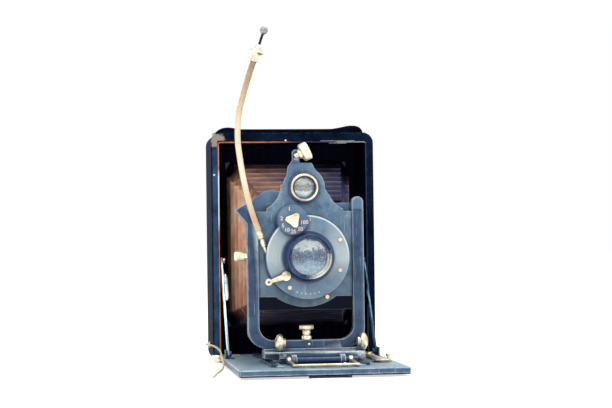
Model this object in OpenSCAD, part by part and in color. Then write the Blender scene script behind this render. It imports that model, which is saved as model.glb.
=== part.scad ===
// Folding plate camera with its bed let down and its front standard drawn out.
// Millimetres. X is right as seen from the front, Y points away from the viewer, Z is up.
// The origin is the centre of the box's base face.

/* [Box] */
// Width over the leather
body_w = 110; // [108:1:114]
// Height over the leather
body_h = 153.5; // [152:0.5:158]
// Depth of the box from front edge to back edge
body_d = 42; // [40:1:46]
// Thickness of the wooden walls
wall = 4.5; // [4:0.1:4.8]
// Thickness of the leather cover
leather_t = 1; // [0.8:0.1:1.2]
// Outer corner radius of the box
body_corner = 7; // [5:1:9]

/* [Bed] */
// Width of the drop bed
bed_w = 102.4; // [101.6:0.1:102.8]
// Distance of the bed's front edge from the box's front face
bed_reach = 140.7; // [139:0.1:144]
// Height of the bed's upper face above the base
bed_top = 5.5; // [5.4:0.05:5.6]
// Thickness of the bed plate
bed_plate_t = 3.2; // [3:0.1:3.4]

/* [Front standard] */
// How far the upright standard stands in front of the box's centre
standard_y = 107; // [104:1:110]
// Sideways place of the standard's centre
front_x = -4; // [-6:1:0]
// Outer width of the upright frame
u_outer_w = 72.8; // [72:0.1:75]
// Inner width of the upright frame
u_inner_w = 59; // [58:0.1:60]
// Height of the tops of the uprights
u_top = 108.6; // [106:0.1:112]
// Depth of the uprights from front to back
u_depth = 6.6; // [6:0.1:7]

/* [Shutter and lens] */
// Height of the lens axis above the base
lens_z = 71; // [69:1:73]
// Radius of the shutter case
case_r = 25.7; // [25.5:0.1:26]
// Radius of the lens barrel
barrel_r = 14.5; // [14:0.1:14.6]
// How far the barrel stands in front of the shutter's cover
barrel_reach = 11; // [9:0.5:14]
// Radius of the front glass
glass_r = 11.8; // [11:0.1:11.8]
// Radius of the finder glass
finder_r = 6.3; // [6:0.1:6.5]

/* [Bellows] */
// Number of folds between the box and the front board
folds = 9; // [6:3:15]
// Depth of each fold
fold_depth = 3.5; // [2:0.5:3.5]

/* [Cables] */
// Diameter of the shutter release cable
release_d = 3.6; // [3:0.1:4]
// Diameter of the leather lace
lace_d = 1.3; // [1.2:0.1:1.6]

/* [Hidden] */
$fn = 48;

half_w = body_w / 2;
front_y = -body_d / 2;
back_y = body_d / 2;
in_half_w = half_w - leather_t - wall;
in_low = bed_top;
in_high = body_h - leather_t - wall - 0.8;
eps = 0.05;

// Drop bed and its hinge
hinge_y = front_y - 2.4;
hinge_z = 3.5;
knuckle_r = 2.2;
pin_r = 0.9;
bed_front = front_y - bed_reach;
bed_back = front_y - 1;
bed_low = bed_top - bed_plate_t;
bed_leather_low = bed_low - 0.8;
bush_y = front_y - 39;
bush_bore_r = 4.76;
leg_y = bed_front + 4.1;
leg_z = 1;
leg_notch = [-10, 12.5];
foot_peg = [14.2, bed_front + 3.7];
knuckle_in = 37.8;
knuckle_mid = 45.8;
knuckle_out = 55.8;

// Struts between the bed's feet and the studs on the box's walls
strut_x = 48.3;
strut_t = 1.2;
foot_y = front_y - 37;
foot_z = bed_top + 3;
stud_y = front_y + 6;
stud_z = 68;
stud_r = 1.1;
strut_len = sqrt(pow(foot_y - stud_y, 2) + pow(stud_z - foot_z, 2));
strut_lean = atan2(stud_y - foot_y, stud_z - foot_z);

// Focusing track and lever
track_in = 22.6;
track_out = 27;
track_low = bed_top + 0.2;
track_top = track_low + 0.6;
guide_top = track_top + 0.9;
track_front = front_y - 122;
track_back = front_y - 13;
guide_out = 30;
lever_x = 41;
lever_y = front_y - 50;
link_arm = 11;

// Front standard
sled_low = 8.8;
sled_top = 13;
sled_front = -standard_y - 11;
sled_back = -standard_y + 8;
foot_top = sled_top + 1.6;
u_front = -standard_y - 2;
u_back = u_front + u_depth;
u_bar_low = 15.1;
u_bar_top = 19.6;
u_corner = 11;
panel_front = -standard_y - 0.6;
panel_back = panel_front + 1.2;
tube_y = sled_front - 3;
tube_z = 8.1;
tube_r = 1.7;
bail_reach = 27;
clamp_y = -standard_y - 8;
clamp_pivot_z = 10.9;
clamp_left_x = -19.2;
clamp_right_x = 27.5;
knob_z = 18.5;
board_front = u_back;
board_back = board_front + 1.2;

// Shutter
case_back = panel_front;
cover_back = case_back - 9.9;
cover_front = cover_back - 1.5;
dial_x = -9.4;
dial_z = 22.8;
dial_r = 9.4;
cock_x = -14;
cock_z = -11.4;
catch_x = 31;
catch_y = front_y + 4;
iris_pin_r = 20;
screw_places = [[20.1, 10.4], [19.8, -8.2], [-11.6, -18.6]];
blade_pivot_x = 3;
blade_pivot_z = 18.8;
finder_x = -0.5;
finder_z = 43;
head_x = -5.2;
head_z = 135.2 - lens_z;
head_lean = 64;

// Release cable, measured from the lens axis: its socket leans along the cable's first stretch
socket_lean = -19.9;
socket_x = -28.4;
socket_z = 12.9;
release_y = -standard_y - 6.5;
release_route = [[-29.75, 16.6], [-32.8, 25], [-35.6, 34.5], [-38.5, 47.5], [-40.6, 60], [-42, 73],
    [-41.4, 86.5], [-39, 97.5], [-36.1, 107.5], [-33.9, 114.5], [-31.75, 120.6]];
collar_x = -30.1;
collar_z = 125.3;
collar_lean = 19.2;

// Lace: from its eyelet on the left wall down to the surface the camera stands on
lace_route = [[-56.4, 4, 11], [-57.4, 2.3, 11.2], [-57.8, -3, 11.7], [-57.6, -11, 12], [-56.6, -20, 12.1],
    [-53.9, -31, 11.3], [-52.2, -42, 9.6], [-52.15, -52, 7.4], [-52.15, -61, 5.2], [-52.4, -69, 3.3],
    [-53.4, -78, 1.8], [-55.3, -89, 0.95], [-57.9, -102, 0.8], [-61, -119, 0.8], [-64.8, -140, 0.8]];

// Bellows: where its back edge is glued and where its last ring meets the front board
bellows_back = 16;
bellows_front_end = board_back + 0.1;
split_ring = floor(2 * folds / 3);

// Focusing back
rail_y = back_y + 2;
frame_y = rail_y + 0.1;
frame_t = 3.4;
hood_y = frame_y + frame_t;
lid_y = back_y + 10.2;
lid_hinge_y = lid_y - 0.4;
lid_hinge_z = 147.6;

// Flat rounded rectangle, x0..x1 by z0..z1, stood up and pushed from y0 to y1
module slab(x0, x1, z0, z1, y0, y1, r = 0.01) {
    translate([0, y1, 0]) rotate([90, 0, 0]) linear_extrude(y1 - y0) plate_outline(x0, x1, z0, z1, r);
}

// Rounded rectangle from four discs and two bars, kept exact
module plate_outline(x0, x1, z0, z1, r) {
    if (r < 0.1) {
        translate([x0, z0]) square([x1 - x0, z1 - z0]);
    } else {
        translate([x0 + r, z0]) square([x1 - x0 - 2 * r, z1 - z0]);
        translate([x0, z0 + r]) square([x1 - x0, z1 - z0 - 2 * r]);
        for (x = [x0 + r, x1 - r], z = [z0 + r, z1 - r]) translate([x, z]) circle(r);
    }
}

module block(x0, x1, y0, y1, z0, z1) {
    translate([x0, y0, z0]) cube([x1 - x0, y1 - y0, z1 - z0]);
}

module rod_x(x0, x1, y, z, r) {
    translate([x0, y, z]) rotate([0, 90, 0]) cylinder(h = x1 - x0, r = r);
}

module rod_y(y0, y1, x, z, r) {
    translate([x, y1, z]) rotate([90, 0, 0]) cylinder(h = y1 - y0, r = r);
}

// Turned piece about the lens axis: points are [radius, y]
module turned(points) {
    rotate([90, 0, 0]) rotate_extrude() polygon([for (p = points) [p[0], -p[1]]]);
}

// Everything on the lens axis is drawn about it
module on_lens() {
    translate([front_x, 0, lens_z]) children();
}

// Outline in the front view, pushed from y0 to y1
module cut_plate(y0, y1) {
    translate([0, y1, 0]) rotate([90, 0, 0]) linear_extrude(y1 - y0) children();
}

// Tube swept along a route: ring i is square to the line between its neighbours
function unit(v) = v / norm(v);
function along(route, i) = unit(route[min(i + 1, len(route) - 1)] - route[max(i - 1, 0)]);
function ring(centre, dir, r, sides) =
    let(side = unit(cross(dir, abs(dir[1]) > 0.9 ? [0, 0, 1] : [0, 1, 0])), up = cross(side, dir))
    [for (k = [0 : sides - 1]) centre + r * (cos(360 * k / sides) * side + sin(360 * k / sides) * up)];

module tube_along(route, r, sides) {
    n = len(route);
    points = [for (i = [0 : n - 1]) each ring(route[i], along(route, i), r, sides)];
    faces = concat(
        [[for (k = [0 : sides - 1]) k]],
        [for (i = [0 : n - 2], k = [0 : sides - 1])
            let(a = i * sides + k, b = i * sides + (k + 1) % sides) [a, a + sides, b + sides, b]],
        [[for (k = [sides - 1 : -1 : 0]) (n - 1) * sides + k]]);
    polyhedron(points, faces);
}

// Smooth curve through a route's points
function curve_point(a, b, c, d, t) =
    0.5 * (2 * b + (c - a) * t + (2 * a - 5 * b + 4 * c - d) * t * t + (3 * b - a - 3 * c + d) * t * t * t);
function curve(route, steps) =
    let(n = len(route))
    [for (i = [0 : n - 2], s = [0 : steps - 1])
        curve_point(route[max(i - 1, 0)], route[i], route[i + 1], route[min(i + 2, n - 1)], s / steps),
        route[n - 1]];

// Box

module box_outline(inset) {
    plate_outline(-half_w + inset, half_w - inset, inset, body_h - inset, body_corner - inset);
}

module body_shell() {
    color("#3b2a1d") difference() {
        cut_plate(front_y + 0.4, back_y) box_outline(leather_t);
        slab(-in_half_w, in_half_w, in_low, in_high, front_y - 1, 16);
        slab(-42, 42, 22.5, 135.5, 15, back_y + 1);
        block(18, 44, front_y - 1, front_y + 8, in_high - 1, in_high + 2.1);
        translate([catch_x, catch_y, in_high]) cylinder(h = 10, r = 2.1);
        for (side = [-1, 1]) mirror([side < 0 ? 1 : 0, 0, 0])
            rod_x(in_half_w - 1, in_half_w + 4, stud_y, stud_z, stud_r);
    }
}

// Leather wraps the box and turns over its front edge, short of the bare inner edge
module leather_cover() {
    lip = half_w - in_half_w - 1.1;
    color("#141b2b") {
        difference() {
            cut_plate(front_y + 0.4, back_y) box_outline(0);
            cut_plate(front_y, back_y + 1) box_outline(leather_t);
            rod_x(-half_w - 1, -half_w + 1.5, 4, 11, 1);
            translate([catch_x, catch_y, in_high]) cylinder(h = 10, r = 2.1);
        }
        difference() {
            cut_plate(front_y, front_y + 0.4) box_outline(0);
            slab(-half_w + lip, half_w - lip, in_low, body_h - lip - 0.8, front_y - 1, front_y + 1);
            for (side = [-1, 1]) block(side * 50 - 5, side * 50 + 5, front_y - 1, front_y + 1, 0.8, 6.2);
        }
    }
}

// Metal frame on the back, with side rails that hold the focusing back
module back_rails() {
    color("#2b3340") {
        difference() {
            slab(-53, 53, 1, 152, back_y, rail_y, 4);
            slab(-44, 44, 14, 140, back_y - 1, rail_y + 1);
        }
        for (side = [-1, 1]) {
            mirror([side < 0 ? 1 : 0, 0, 0]) {
                block(49, 53, rail_y, rail_y + 4.6, 6, 150);
                block(46.6, 49, frame_y + frame_t + 0.1, rail_y + 4.6, 6, 150);
            }
        }
        block(-40, 40, rail_y, rail_y + 3, 6, 9);
    }
}

// Leather carrying strap, lying flat between two raised ends
module handle_strap() {
    top = body_h;
    color("#10131c") cut_plate(-8, 8) difference() {
        polygon([[-50.4, top - 2], [-50.3, top + 0.9], [-49.4, top + 2.3], [-47.8, top + 3.5],
            [-45.4, top + 4.4], [-42.2, top + 4.8], [-39, top + 4.5], [-35.5, top + 3.9], [-32, top + 3.6],
            [27, top + 3.6], [31, top + 3.9], [35.5, top + 4.7], [39.5, top + 5.5], [42.6, top + 5.8],
            [45.5, top + 5.6], [47.8, top + 4.8], [49.4, top + 3.4], [50.3, top + 1.6], [50.4, top - 2]]);
        box_outline(0);
    }
}

module strap_anchors() {
    color("#8d8f92") cut_plate(-7, 7) difference() {
        union() {
            translate([-52, body_h - 2]) square([1.6, 3.1]);
            translate([50.4, body_h - 2]) square([1.6, 3.1]);
        }
        box_outline(0);
    }
}

// Hinge leaves of the box: one knuckle at each lower corner
module body_knuckles() {
    color("#b9a67c") for (side = [-1, 1]) mirror([side < 0 ? 1 : 0, 0, 0]) difference() {
        union() {
            rod_x(knuckle_mid, knuckle_out, hinge_y, hinge_z, knuckle_r);
            block(knuckle_mid, knuckle_out, hinge_y, front_y + 0.4, hinge_z - knuckle_r, hinge_z + knuckle_r);
        }
        rod_x(knuckle_mid - 1, knuckle_out + 1, hinge_y, hinge_z, pin_r);
    }
}

module hinge_pins() {
    color("#d8cfb4") {
        for (side = [-1, 1]) mirror([side < 0 ? 1 : 0, 0, 0]) {
            rod_x(knuckle_in, knuckle_out + 0.4, hinge_y, hinge_z, pin_r);
            rod_x(strut_x - strut_t / 2 - 1.6, in_half_w + 4, stud_y, stud_z, stud_r);
            rod_x(strut_x - strut_t / 2 - 1.6, strut_x - strut_t / 2 - 0.3, stud_y, stud_z, 2);
        }
    }
}

// Bellows: rings of a chamfered rectangle that narrow from the box to the front board
function bellows_part(y) = (bellows_back - y) / (bellows_back - bellows_front_end);
function bellows_ring(y, inset) =
    let(t = bellows_part(y), cx = (1 - t) * 0.4 + t * front_x, cz = (1 - t) * 79 + t * 72,
        hw = 44 - 15.5 * t - inset, hh = 57.5 - 23 * t - inset, ch = 9 - 2 * t)
    [[cx - hw + ch * 0.6, y, cz - hh], [cx + hw - ch * 0.6, y, cz - hh], [cx + hw, y, cz - hh + ch],
     [cx + hw, y, cz + hh - ch], [cx + hw - ch * 0.6, y, cz + hh], [cx - hw + ch * 0.6, y, cz + hh],
     [cx - hw, y, cz + hh - ch], [cx - hw, y, cz - hh + ch]];

module bellows_between(first, last) {
    pitch = (bellows_back - bellows_front_end) / (2 * folds);
    n = last - first + 1;
    dip = [for (i = [0 : last]) i % 2 == 0 ? 0 : fold_depth];
    outer = [for (i = [first : last]) each bellows_ring(bellows_back - i * pitch, dip[i])];
    inner = [for (i = [first : last]) each bellows_ring(bellows_back - i * pitch, dip[i] + 1.2)];
    walls = [for (i = [0 : n - 2], k = [0 : 7]) let(a = i * 8 + k, b = i * 8 + (k + 1) % 8) [a, b, b + 8, a + 8]];
    m = n * 8;
    faces = concat(
        [for (w = walls) each [[w[0], w[1], w[2]], [w[0], w[2], w[3]]]],
        [for (w = walls) each [[w[2] + m, w[1] + m, w[0] + m], [w[3] + m, w[2] + m, w[0] + m]]],
        [for (k = [0 : 7]) each [[(k + 1) % 8, k, k + m], [(k + 1) % 8, k + m, (k + 1) % 8 + m]]],
        [for (k = [0 : 7]) let(a = (n - 1) * 8 + k, b = (n - 1) * 8 + (k + 1) % 8)
            each [[a, b, b + m], [a, b + m, a + m]]]);
    color("#7a4f3a") polyhedron(concat(outer, inner), faces);
}

module bellows_rear() {
    bellows_between(0, split_ring);
}

module bellows_front() {
    translate([0, -0.1, 0]) bellows_between(split_ring, 2 * folds);
}

module lace_eyelet() {
    color("#c9b68c") difference() {
        union() {
            rod_x(-half_w - 0.6, -half_w, 4, 11, 2);
            rod_x(-half_w - 1.4, -half_w + 1, 4, 11, 1);
        }
        rod_x(-half_w - 2, -half_w - 0.4, 4, 11, lace_d / 2);
    }
}

module lace() {
    color("#d9c69b") tube_along(curve(lace_route, 4), lace_d / 2, 8);
}

// Drop bed

module bed_plate() {
    notch = knuckle_in - 0.3;
    color("#5b7288") difference() {
        translate([0, 0, bed_low]) linear_extrude(bed_plate_t) difference() {
            plate_outline(-bed_w / 2, bed_w / 2, bed_front, bed_back, 3);
            for (side = [-1, 1]) translate([side > 0 ? notch : -notch - 20, hinge_y - 2.7]) square([20, 10]);
        }
        translate([0, bush_y, bed_low - 1]) cylinder(h = 6, r = 6.4);
        block(leg_notch[0], leg_notch[1], leg_y - 2.7, leg_y + 2.6, bed_low - 1, bed_low + 0.3);
    }
}

// Leather on the bed's underside, the outer face when the camera is shut
module bed_leather() {
    color("#1a2233") difference() {
        block(-bed_w / 2 + 0.6, bed_w / 2 - 0.6, bed_front + 0.6, hinge_y - 3.5, bed_leather_low, bed_low);
        translate([0, bush_y, bed_low - 2]) cylinder(h = 6, r = 9);
        block(leg_notch[0], leg_notch[1], leg_y - 2.7, leg_y + 2.6, bed_leather_low - 1, bed_low + 1);
        translate([foot_peg[0], foot_peg[1], 0]) cylinder(h = 5, r = 1.9);
    }
}

module bed_knuckles() {
    color("#b9a67c") for (side = [-1, 1]) mirror([side < 0 ? 1 : 0, 0, 0]) difference() {
        union() {
            rod_x(knuckle_in, knuckle_mid - 0.1, hinge_y, hinge_z, knuckle_r);
            block(knuckle_in, knuckle_mid - 0.1, hinge_y - 2.7, hinge_y, bed_low, bed_top);
            block(knuckle_in, knuckle_mid - 0.1, hinge_y - 9, hinge_y - 1.6, bed_top, bed_top + 0.5);
        }
        rod_x(knuckle_in - 1, knuckle_mid + 1, hinge_y, hinge_z, pin_r + 0.05);
    }
}

// Strips that hold the sliding track down, in two lengths each side of the lever's link
module bed_guides() {
    color("#8aa0ad") for (side = [-1, 1]) mirror([side < 0 ? 1 : 0, 0, 0]) {
        for (run = [[front_y - 118, lever_y - 11], [lever_y + 9, front_y - 14]]) difference() {
            block(track_out - 0.9, guide_out, run[0], run[1], bed_top, guide_top);
            block(track_out - 2, track_out + 0.1, run[0] - 1, run[1] + 1, bed_top - 1, track_top + 0.1);
        }
    }
}

// Threaded tripod bush in the bed
module bed_bush() {
    color("#c8b98e") translate([0, bush_y, bed_leather_low]) difference() {
        union() {
            cylinder(h = bed_low - bed_leather_low, r = 8.9);
            cylinder(h = bed_top - bed_leather_low, r = 6.4);
        }
        translate([0, 0, -1]) cylinder(h = 8, r = bush_bore_r);
    }
}

// Lugs, pin and rubber foot under the bed's front edge
module leg_hinge() {
    color("#4b4a48") {
        for (x = [-9.8, 10.7]) difference() {
            union() {
                rod_x(x, x + 1.6, leg_y, leg_z, 1);
                block(x, x + 1.6, leg_y - 1, leg_y + 1, leg_z, bed_low + 0.3);
            }
            rod_x(x - 1, x + 3, leg_y, leg_z, 0.5);
        }
        rod_x(-9.8, 12.3, leg_y, leg_z, 0.5);
        translate([foot_peg[0], foot_peg[1], 0.1]) cylinder(h = bed_low - 0.1, r = 1.8);
    }
}

// Folding foot that props the open bed up
module stand_leg() {
    color("#7c4a33") difference() {
        union() {
            rod_x(-8, 10.5, leg_y, leg_z, 0.95);
            block(-8, 10.5, leg_y, leg_y + 39.6, 0.1, 1.2);
            rod_x(-6, 8.5, leg_y + 39.1, 0.75, 0.7);
        }
        rod_x(-10, 12, leg_y, leg_z, 0.53);
        block(-9, 12, leg_y - 3, leg_y + 1.5, -1, 0.12);
    }
}

// Foot plates on the bed that carry the struts
module strut_feet() {
    color("#9fb3bd") for (side = [-1, 1]) mirror([side < 0 ? 1 : 0, 0, 0]) {
        block(strut_x + 0.9, strut_x + 2, foot_y - 4, foot_y + 4, bed_top, foot_z + 2.6);
        block(strut_x - 4, strut_x + 2, foot_y - 4, foot_y + 4, bed_top, bed_top + 0.35);
        rod_x(strut_x - 1.6, strut_x + 1.5, foot_y, foot_z, stud_r);
        rod_x(strut_x - 2, strut_x - 0.8, foot_y, foot_z, 1.9);
    }
}

// One slotted strut, drawn standing on its foot and then leaned back
module strut() {
    translate([0, foot_y, foot_z]) rotate([-strut_lean, 0, 0]) rotate([90, 0, 90]) linear_extrude(strut_t)
    difference() {
        union() {
            circle(2.5);
            translate([-2.6, 0]) square([5.2, 41]);
            translate([-2, 40]) square([4, 8]);
            polygon([[-2, 44], [-3.8, 48], [-3.8, 68], [-2.6, 72], [-2.6, strut_len], [2.6, strut_len],
                [2.6, 72], [3.8, 68], [3.8, 48], [2, 44]]);
            translate([0, strut_len]) circle(2.6);
        }
        circle(stud_r + 0.05);
        translate([-1.25, 5]) square([2.5, 33]);
        translate([-1.35, strut_len - 8]) square([2.7, 8]);
        translate([0, strut_len]) circle(1.35);
        translate([0, strut_len - 8]) circle(1.35);
    }
}

module strut_left() {
    color("#a9c3cc") translate([-strut_x - strut_t / 2, 0, 0]) strut();
}

module strut_right() {
    color("#a9c3cc") translate([strut_x - strut_t / 2, 0, 0]) strut();
}

// Focusing

module lever_post() {
    color("#b7b09a") translate([lever_x, lever_y, bed_top]) {
        cylinder(h = 1, r = 3);
        cylinder(h = 2.6, r = 1.2);
        translate([0, 0, 2.3]) cylinder(h = 0.8, r = 2);
    }
}

module focus_lever() {
    low = bed_top + 1.1;
    color("#d8caa6") difference() {
        union() {
            translate([lever_x, lever_y, low]) linear_extrude(1) {
                circle(3.6);
                translate([-link_arm, -1.6]) square([link_arm, 3.2]);
                translate([-link_arm, 0]) circle(1.6);
                polygon([[-2.4, -1], [2.4, -1], [2.2, -36], [-1.6, -36]]);
                polygon([[-2, -34], [-5.4, -44.5], [-3.5, -48.5], [0, -50], [3.6, -48.8], [6.6, -45],
                    [7.6, -38.5], [6, -35.5], [4.6, -39.5], [2.4, -33]]);
            }
            translate([lever_x + 6.2, lever_y - 38.6, low]) cylinder(h = 3, r = 1.3);
            translate([lever_x + 6.2, lever_y - 38.6, low + 2.2]) cylinder(h = 1.4, r = 1.8);
            translate([lever_x - link_arm, lever_y, track_low]) cylinder(h = 1.6, r = 0.8);
        }
        translate([lever_x, lever_y, 0]) cylinder(h = 20, r = 1.25);
    }
}

// Sliding track: two strips joined at the back, with a slotted ear for the lever
module focus_track() {
    color("#93a8b3") difference() {
        union() {
            for (side = [-1, 1]) mirror([side < 0 ? 1 : 0, 0, 0])
                block(track_in, track_out, track_front, track_back, track_low, track_top);
            block(-track_in, track_in, track_back - 14, track_back, track_low, track_top);
            block(track_in, guide_out + 4, lever_y - 3, lever_y + 3, track_low, track_top - 0.2);
        }
        block(guide_out - 1.1, guide_out + 2.6, lever_y - 1.05, lever_y + 1.05, 0, 20);
    }
}

// Front standard

module base_sled() {
    color("#6d8496") difference() {
        union() {
            block(-31, 31, sled_front, sled_back, sled_low, sled_top);
            block(-track_in + 0.1, track_in - 0.1, sled_front + 3, sled_back, bed_top + 0.1, sled_low);
            block(-track_out + 1.1, track_out - 1.1, sled_front + 3, sled_back, track_top + 0.1, sled_low);
            block(-31, 31, u_front - 1.7, u_front - 0.1, sled_top, foot_top);
            block(-31, 31, u_back - 1.4, u_back + 0.2, sled_top, foot_top);
            for (x = [-15, 15]) {
                block(x, x + 3, tube_y, sled_front, sled_low, sled_low + 2.4);
                rod_x(x, x + 3, tube_y, tube_z, tube_r + 0.6);
            }
        }
        block(-31.1, clamp_left_x - 3, sled_front - 1, clamp_y + 3, sled_low - 1, sled_top - 1);
        for (x = [-15, 15]) rod_x(x - 1, x + 4, tube_y, tube_z, tube_r);
        for (x = [clamp_left_x, clamp_right_x]) {
            block(x - 2.3, x + 2.3, clamp_y - 2.2, clamp_y + 4.2, sled_low - 1, sled_top + 1);
            rod_y(clamp_y - 2.9, clamp_y + 6, x, clamp_pivot_z, 0.95);
        }
    }
}

module clamp_tube() {
    color("#33475c") rod_x(-18.7, 25.9, tube_y, tube_z, tube_r);
}

// Pull bail: a wire with an eye round each end of the tube
module bail_wire() {
    bar_y = tube_y - bail_reach;
    bar_z = bed_top + 1.4;
    arm_start = tube_r + 0.3;
    arm_y = bail_reach - arm_start;
    arm_z = tube_z - bar_z;
    color("#e4d6b2") {
        for (x = [-17.9, 20.3]) {
            difference() {
                rod_x(x, x + 2, tube_y, tube_z, tube_r + 0.7);
                rod_x(x - 1, x + 3, tube_y, tube_z, tube_r + 0.06);
            }
            translate([x + 1, tube_y - arm_start, tube_z]) rotate([90 + atan2(arm_z, arm_y), 0, 0])
                cylinder(h = norm([arm_y, arm_z]), r = 0.9);
            translate([x + 1, bar_y, bar_z]) sphere(1.1);
        }
        rod_x(-16.9, 21.3, bar_y, bar_z, 0.95);
        rod_x(12.4, 14, bar_y, bar_z, 1.3);
    }
}

// Pinch lever with its domed nickel knob; side is +1 with the dome to the right
module clamp_lever(x, side) {
    color("#d6cdb8") translate([x, clamp_y, knob_z]) rotate([0, side * 90, 0]) rotate_extrude()
        polygon([[0, -0.8], [2.9, -0.8], [2.9, 0.9], [5, 1.2], [5.4, 2], [5.4, 3], [4.6, 4.2], [2.9, 5.1],
            [0, 5.5]]);
    color("#2c3e52") {
        block(x - 0.8, x + 0.8, clamp_y - 2, clamp_y + 2, clamp_pivot_z, knob_z - 1.8);
        rod_y(clamp_y - 2, clamp_y + 4, x, clamp_pivot_z, 1.7);
        rod_y(clamp_y - 2.8, clamp_y + 5.9, x, clamp_pivot_z, 0.9);
    }
}

module clamp_left() {
    clamp_lever(clamp_left_x, -1);
}

module clamp_right() {
    clamp_lever(clamp_right_x, 1);
}

// Upright frame: two posts and a bar in one bent channel; the left post's end is bent out
module u_frame() {
    hw_out = u_outer_w / 2;
    hw_in = u_inner_w / 2;
    left_end = 93;
    color("#4f6d87") difference() {
        union() {
            cut_plate(u_front, u_back) translate([front_x, 0]) {
                difference() {
                    plate_outline(-hw_out, hw_out, u_bar_low, u_top + 20, u_corner);
                    plate_outline(-hw_in, hw_in, u_bar_top, u_top + 40, u_corner - 2);
                    translate([-hw_out - 1, left_end]) square([hw_out + 1, 90]);
                    translate([0, u_top - 3.8]) square([hw_out + 1, 90]);
                }
                translate([(hw_out + hw_in) / 2, u_top - 3.85]) circle((hw_out - hw_in) / 2);
                polygon([[-hw_out, left_end - 1], [-hw_in, left_end - 1], [-hw_in - 0.4, left_end + 2.4],
                    [-36.4, 104.6], [-43.4, 100.4]]);
            }
            block(front_x - 22, front_x + 22, u_front, u_back - 1.5, sled_top + eps, u_bar_low);
        }
        for (side = [-1, 1])
            block(front_x + side * (hw_in + 1) - 1.1, front_x + side * (hw_in + 1) + 1.1,
                panel_front - eps, panel_back + eps, u_bar_top + 8, u_top + 20);
        rod_x(front_x - hw_out - 1, front_x - hw_in + 1, -standard_y, lens_z + 0.9, 1.25);
        translate([front_x, -standard_y, sled_top - 1]) cylinder(h = 20, r = 1.25);
    }
}

// Board behind the uprights that carries the front end of the bellows
module rear_board() {
    color("#38536d") cut_plate(board_front, board_back) translate([front_x, 0]) difference() {
        union() {
            plate_outline(-33, 33, 38, 104.5, 3);
            polygon([[-31, 102], [-33.4, 104], [-30.6, 108.4], [-23.6, 112.4], [-19, 112.9], [-15.2, 111.6],
                [-12, 104]]);
        }
        plate_outline(-24, 24, 45, 100, 4);
    }
}

// Sideways lock: a knurled screw through the bar
module cross_lock() {
    color("#dccfae") translate([front_x, -standard_y, 0]) {
        translate([0, 0, sled_top + 0.1]) cylinder(h = 12, r = 1.2);
        translate([0, 0, u_bar_top + eps]) cylinder(h = 2.9, r = 2.9);
        translate([0, 0, u_bar_top + 2.9]) cylinder(h = 3.7, r = 2.4);
        translate([0, 0, u_bar_top + 6.5]) cylinder(h = 2.7, r = 4.4);
    }
}

// Rise lock: a small screw through the left post onto the panel's edge
module rise_lock() {
    side_x = front_x - u_outer_w / 2;
    color("#dccfae") {
        rod_x(side_x - 2, side_x - eps, -standard_y, lens_z + 0.9, 2.2);
        rod_x(side_x - 8, side_x - 1.9, -standard_y, lens_z + 0.9, 2.9);
        rod_x(side_x - 1, front_x - u_inner_w / 2 - 2.4, -standard_y, lens_z + 0.9, 1.2);
    }
}

// Sliding lens panel: square shoulders, a round lower edge and a peak that carries the finder
module panel_outline() {
    hw = u_inner_w / 2 + 2;
    difference() {
        union() {
            translate([-hw, -24.6]) square([2 * hw, 52.9]);
            circle(31);
            translate([finder_x, finder_z]) circle(13.2);
            translate([-24, 28]) square([12.5, 17]);
            translate([9, 28]) square([15, 10.8]);
            polygon([[-12, 28], [14.8, 28], [14.6, 38.8], [4.6, 58.4], [-2.4, 58.4], [-7.7, 59.8],
                [-10.5, 56], [-11.5, 48]]);
            translate([-7.7, 57]) square([4.6, 7.2]);
            translate([head_x, head_z]) circle(2.6);
        }
        translate([-hw, 45]) circle(16.5);
        translate([hw, 45.7]) circle(17.7);
        translate([-60, -60]) square([120, 20]);
        translate([-60, -25]) square([60 - hw, 60]);
        translate([hw, -25]) square([60, 60]);
        translate([head_x, head_z]) circle(0.85);
        circle(12.5);
        translate([finder_x, finder_z]) circle(7);
    }
}

module lens_panel() {
    color("#6f8aa3") on_lens() cut_plate(panel_front, panel_back) panel_outline();
}

// Shutter

module case_outline() {
    circle(case_r);
    translate([dial_x, dial_z]) circle(dial_r - 0.4);
}

module socket_rod(low, high, r) {
    on_lens() translate([socket_x, release_y, socket_z]) rotate([0, socket_lean, 0])
        translate([0, 0, low]) cylinder(h = high - low, r = r);
}

module shutter_case() {
    color("#5f7b93") difference() {
        union() {
            on_lens() difference() {
                cut_plate(cover_back, case_back) case_outline();
                rod_y(cover_back - 1, case_back - 1.4, 0, 0, 24);
                rod_y(cover_back - 1, case_back + 1, 0, 0, 12.4);
                rotate([90, 0, 0]) translate([0, 0, -case_back + 1.7]) rotate([0, 0, -118]) rotate_extrude(angle = 60)
                    translate([23, 0]) square([5, 1.7]);
            }
            on_lens() for (k = [0 : 2]) rotate([0, -30 - 120 * k, 0])
                rod_y(case_back - 4.2, case_back - 1.3, iris_pin_r, 0, 0.6);
        }
        socket_rod(-12, 6, 1.65);
    }
}

module shutter_cover() {
    color("#7c93a6") on_lens() difference() {
        union() {
            cut_plate(cover_front, cover_back) case_outline();
            rod_y(cover_front - 0.8, cover_front + 0.1, 0, 0, 16.6);
            for (side = [-1, 1])
                rod_y(cover_back - 0.1, cover_back + (side > 0 ? 4.95 : 5.45), side * blade_pivot_x, blade_pivot_z, 0.6);
        }
        rod_y(cover_front - 2, cover_back + 1, 0, 0, barrel_r);
        rod_y(cover_front - 2, cover_back + 1, dial_x, dial_z, 1.25);
        rod_y(cover_front - 2, cover_back + 1, cock_x, cock_z, 1.05);
        for (p = screw_places) rod_y(cover_front - 2, cover_back + 1, p[0], p[1], 0.7);
    }
}

module lens_barrel() {
    front = cover_front - barrel_reach;
    color("#232c3a") on_lens() turned([
        [10.5, cover_back + 4.4], [barrel_r, cover_back + 4.4], [barrel_r, front + 1.2], [barrel_r - 0.7, front],
        [barrel_r - 1.5, front], [glass_r + 0.1, front + 1.8], [glass_r + 0.1, front + 7], [10.5, front + 7]]);
}

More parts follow.
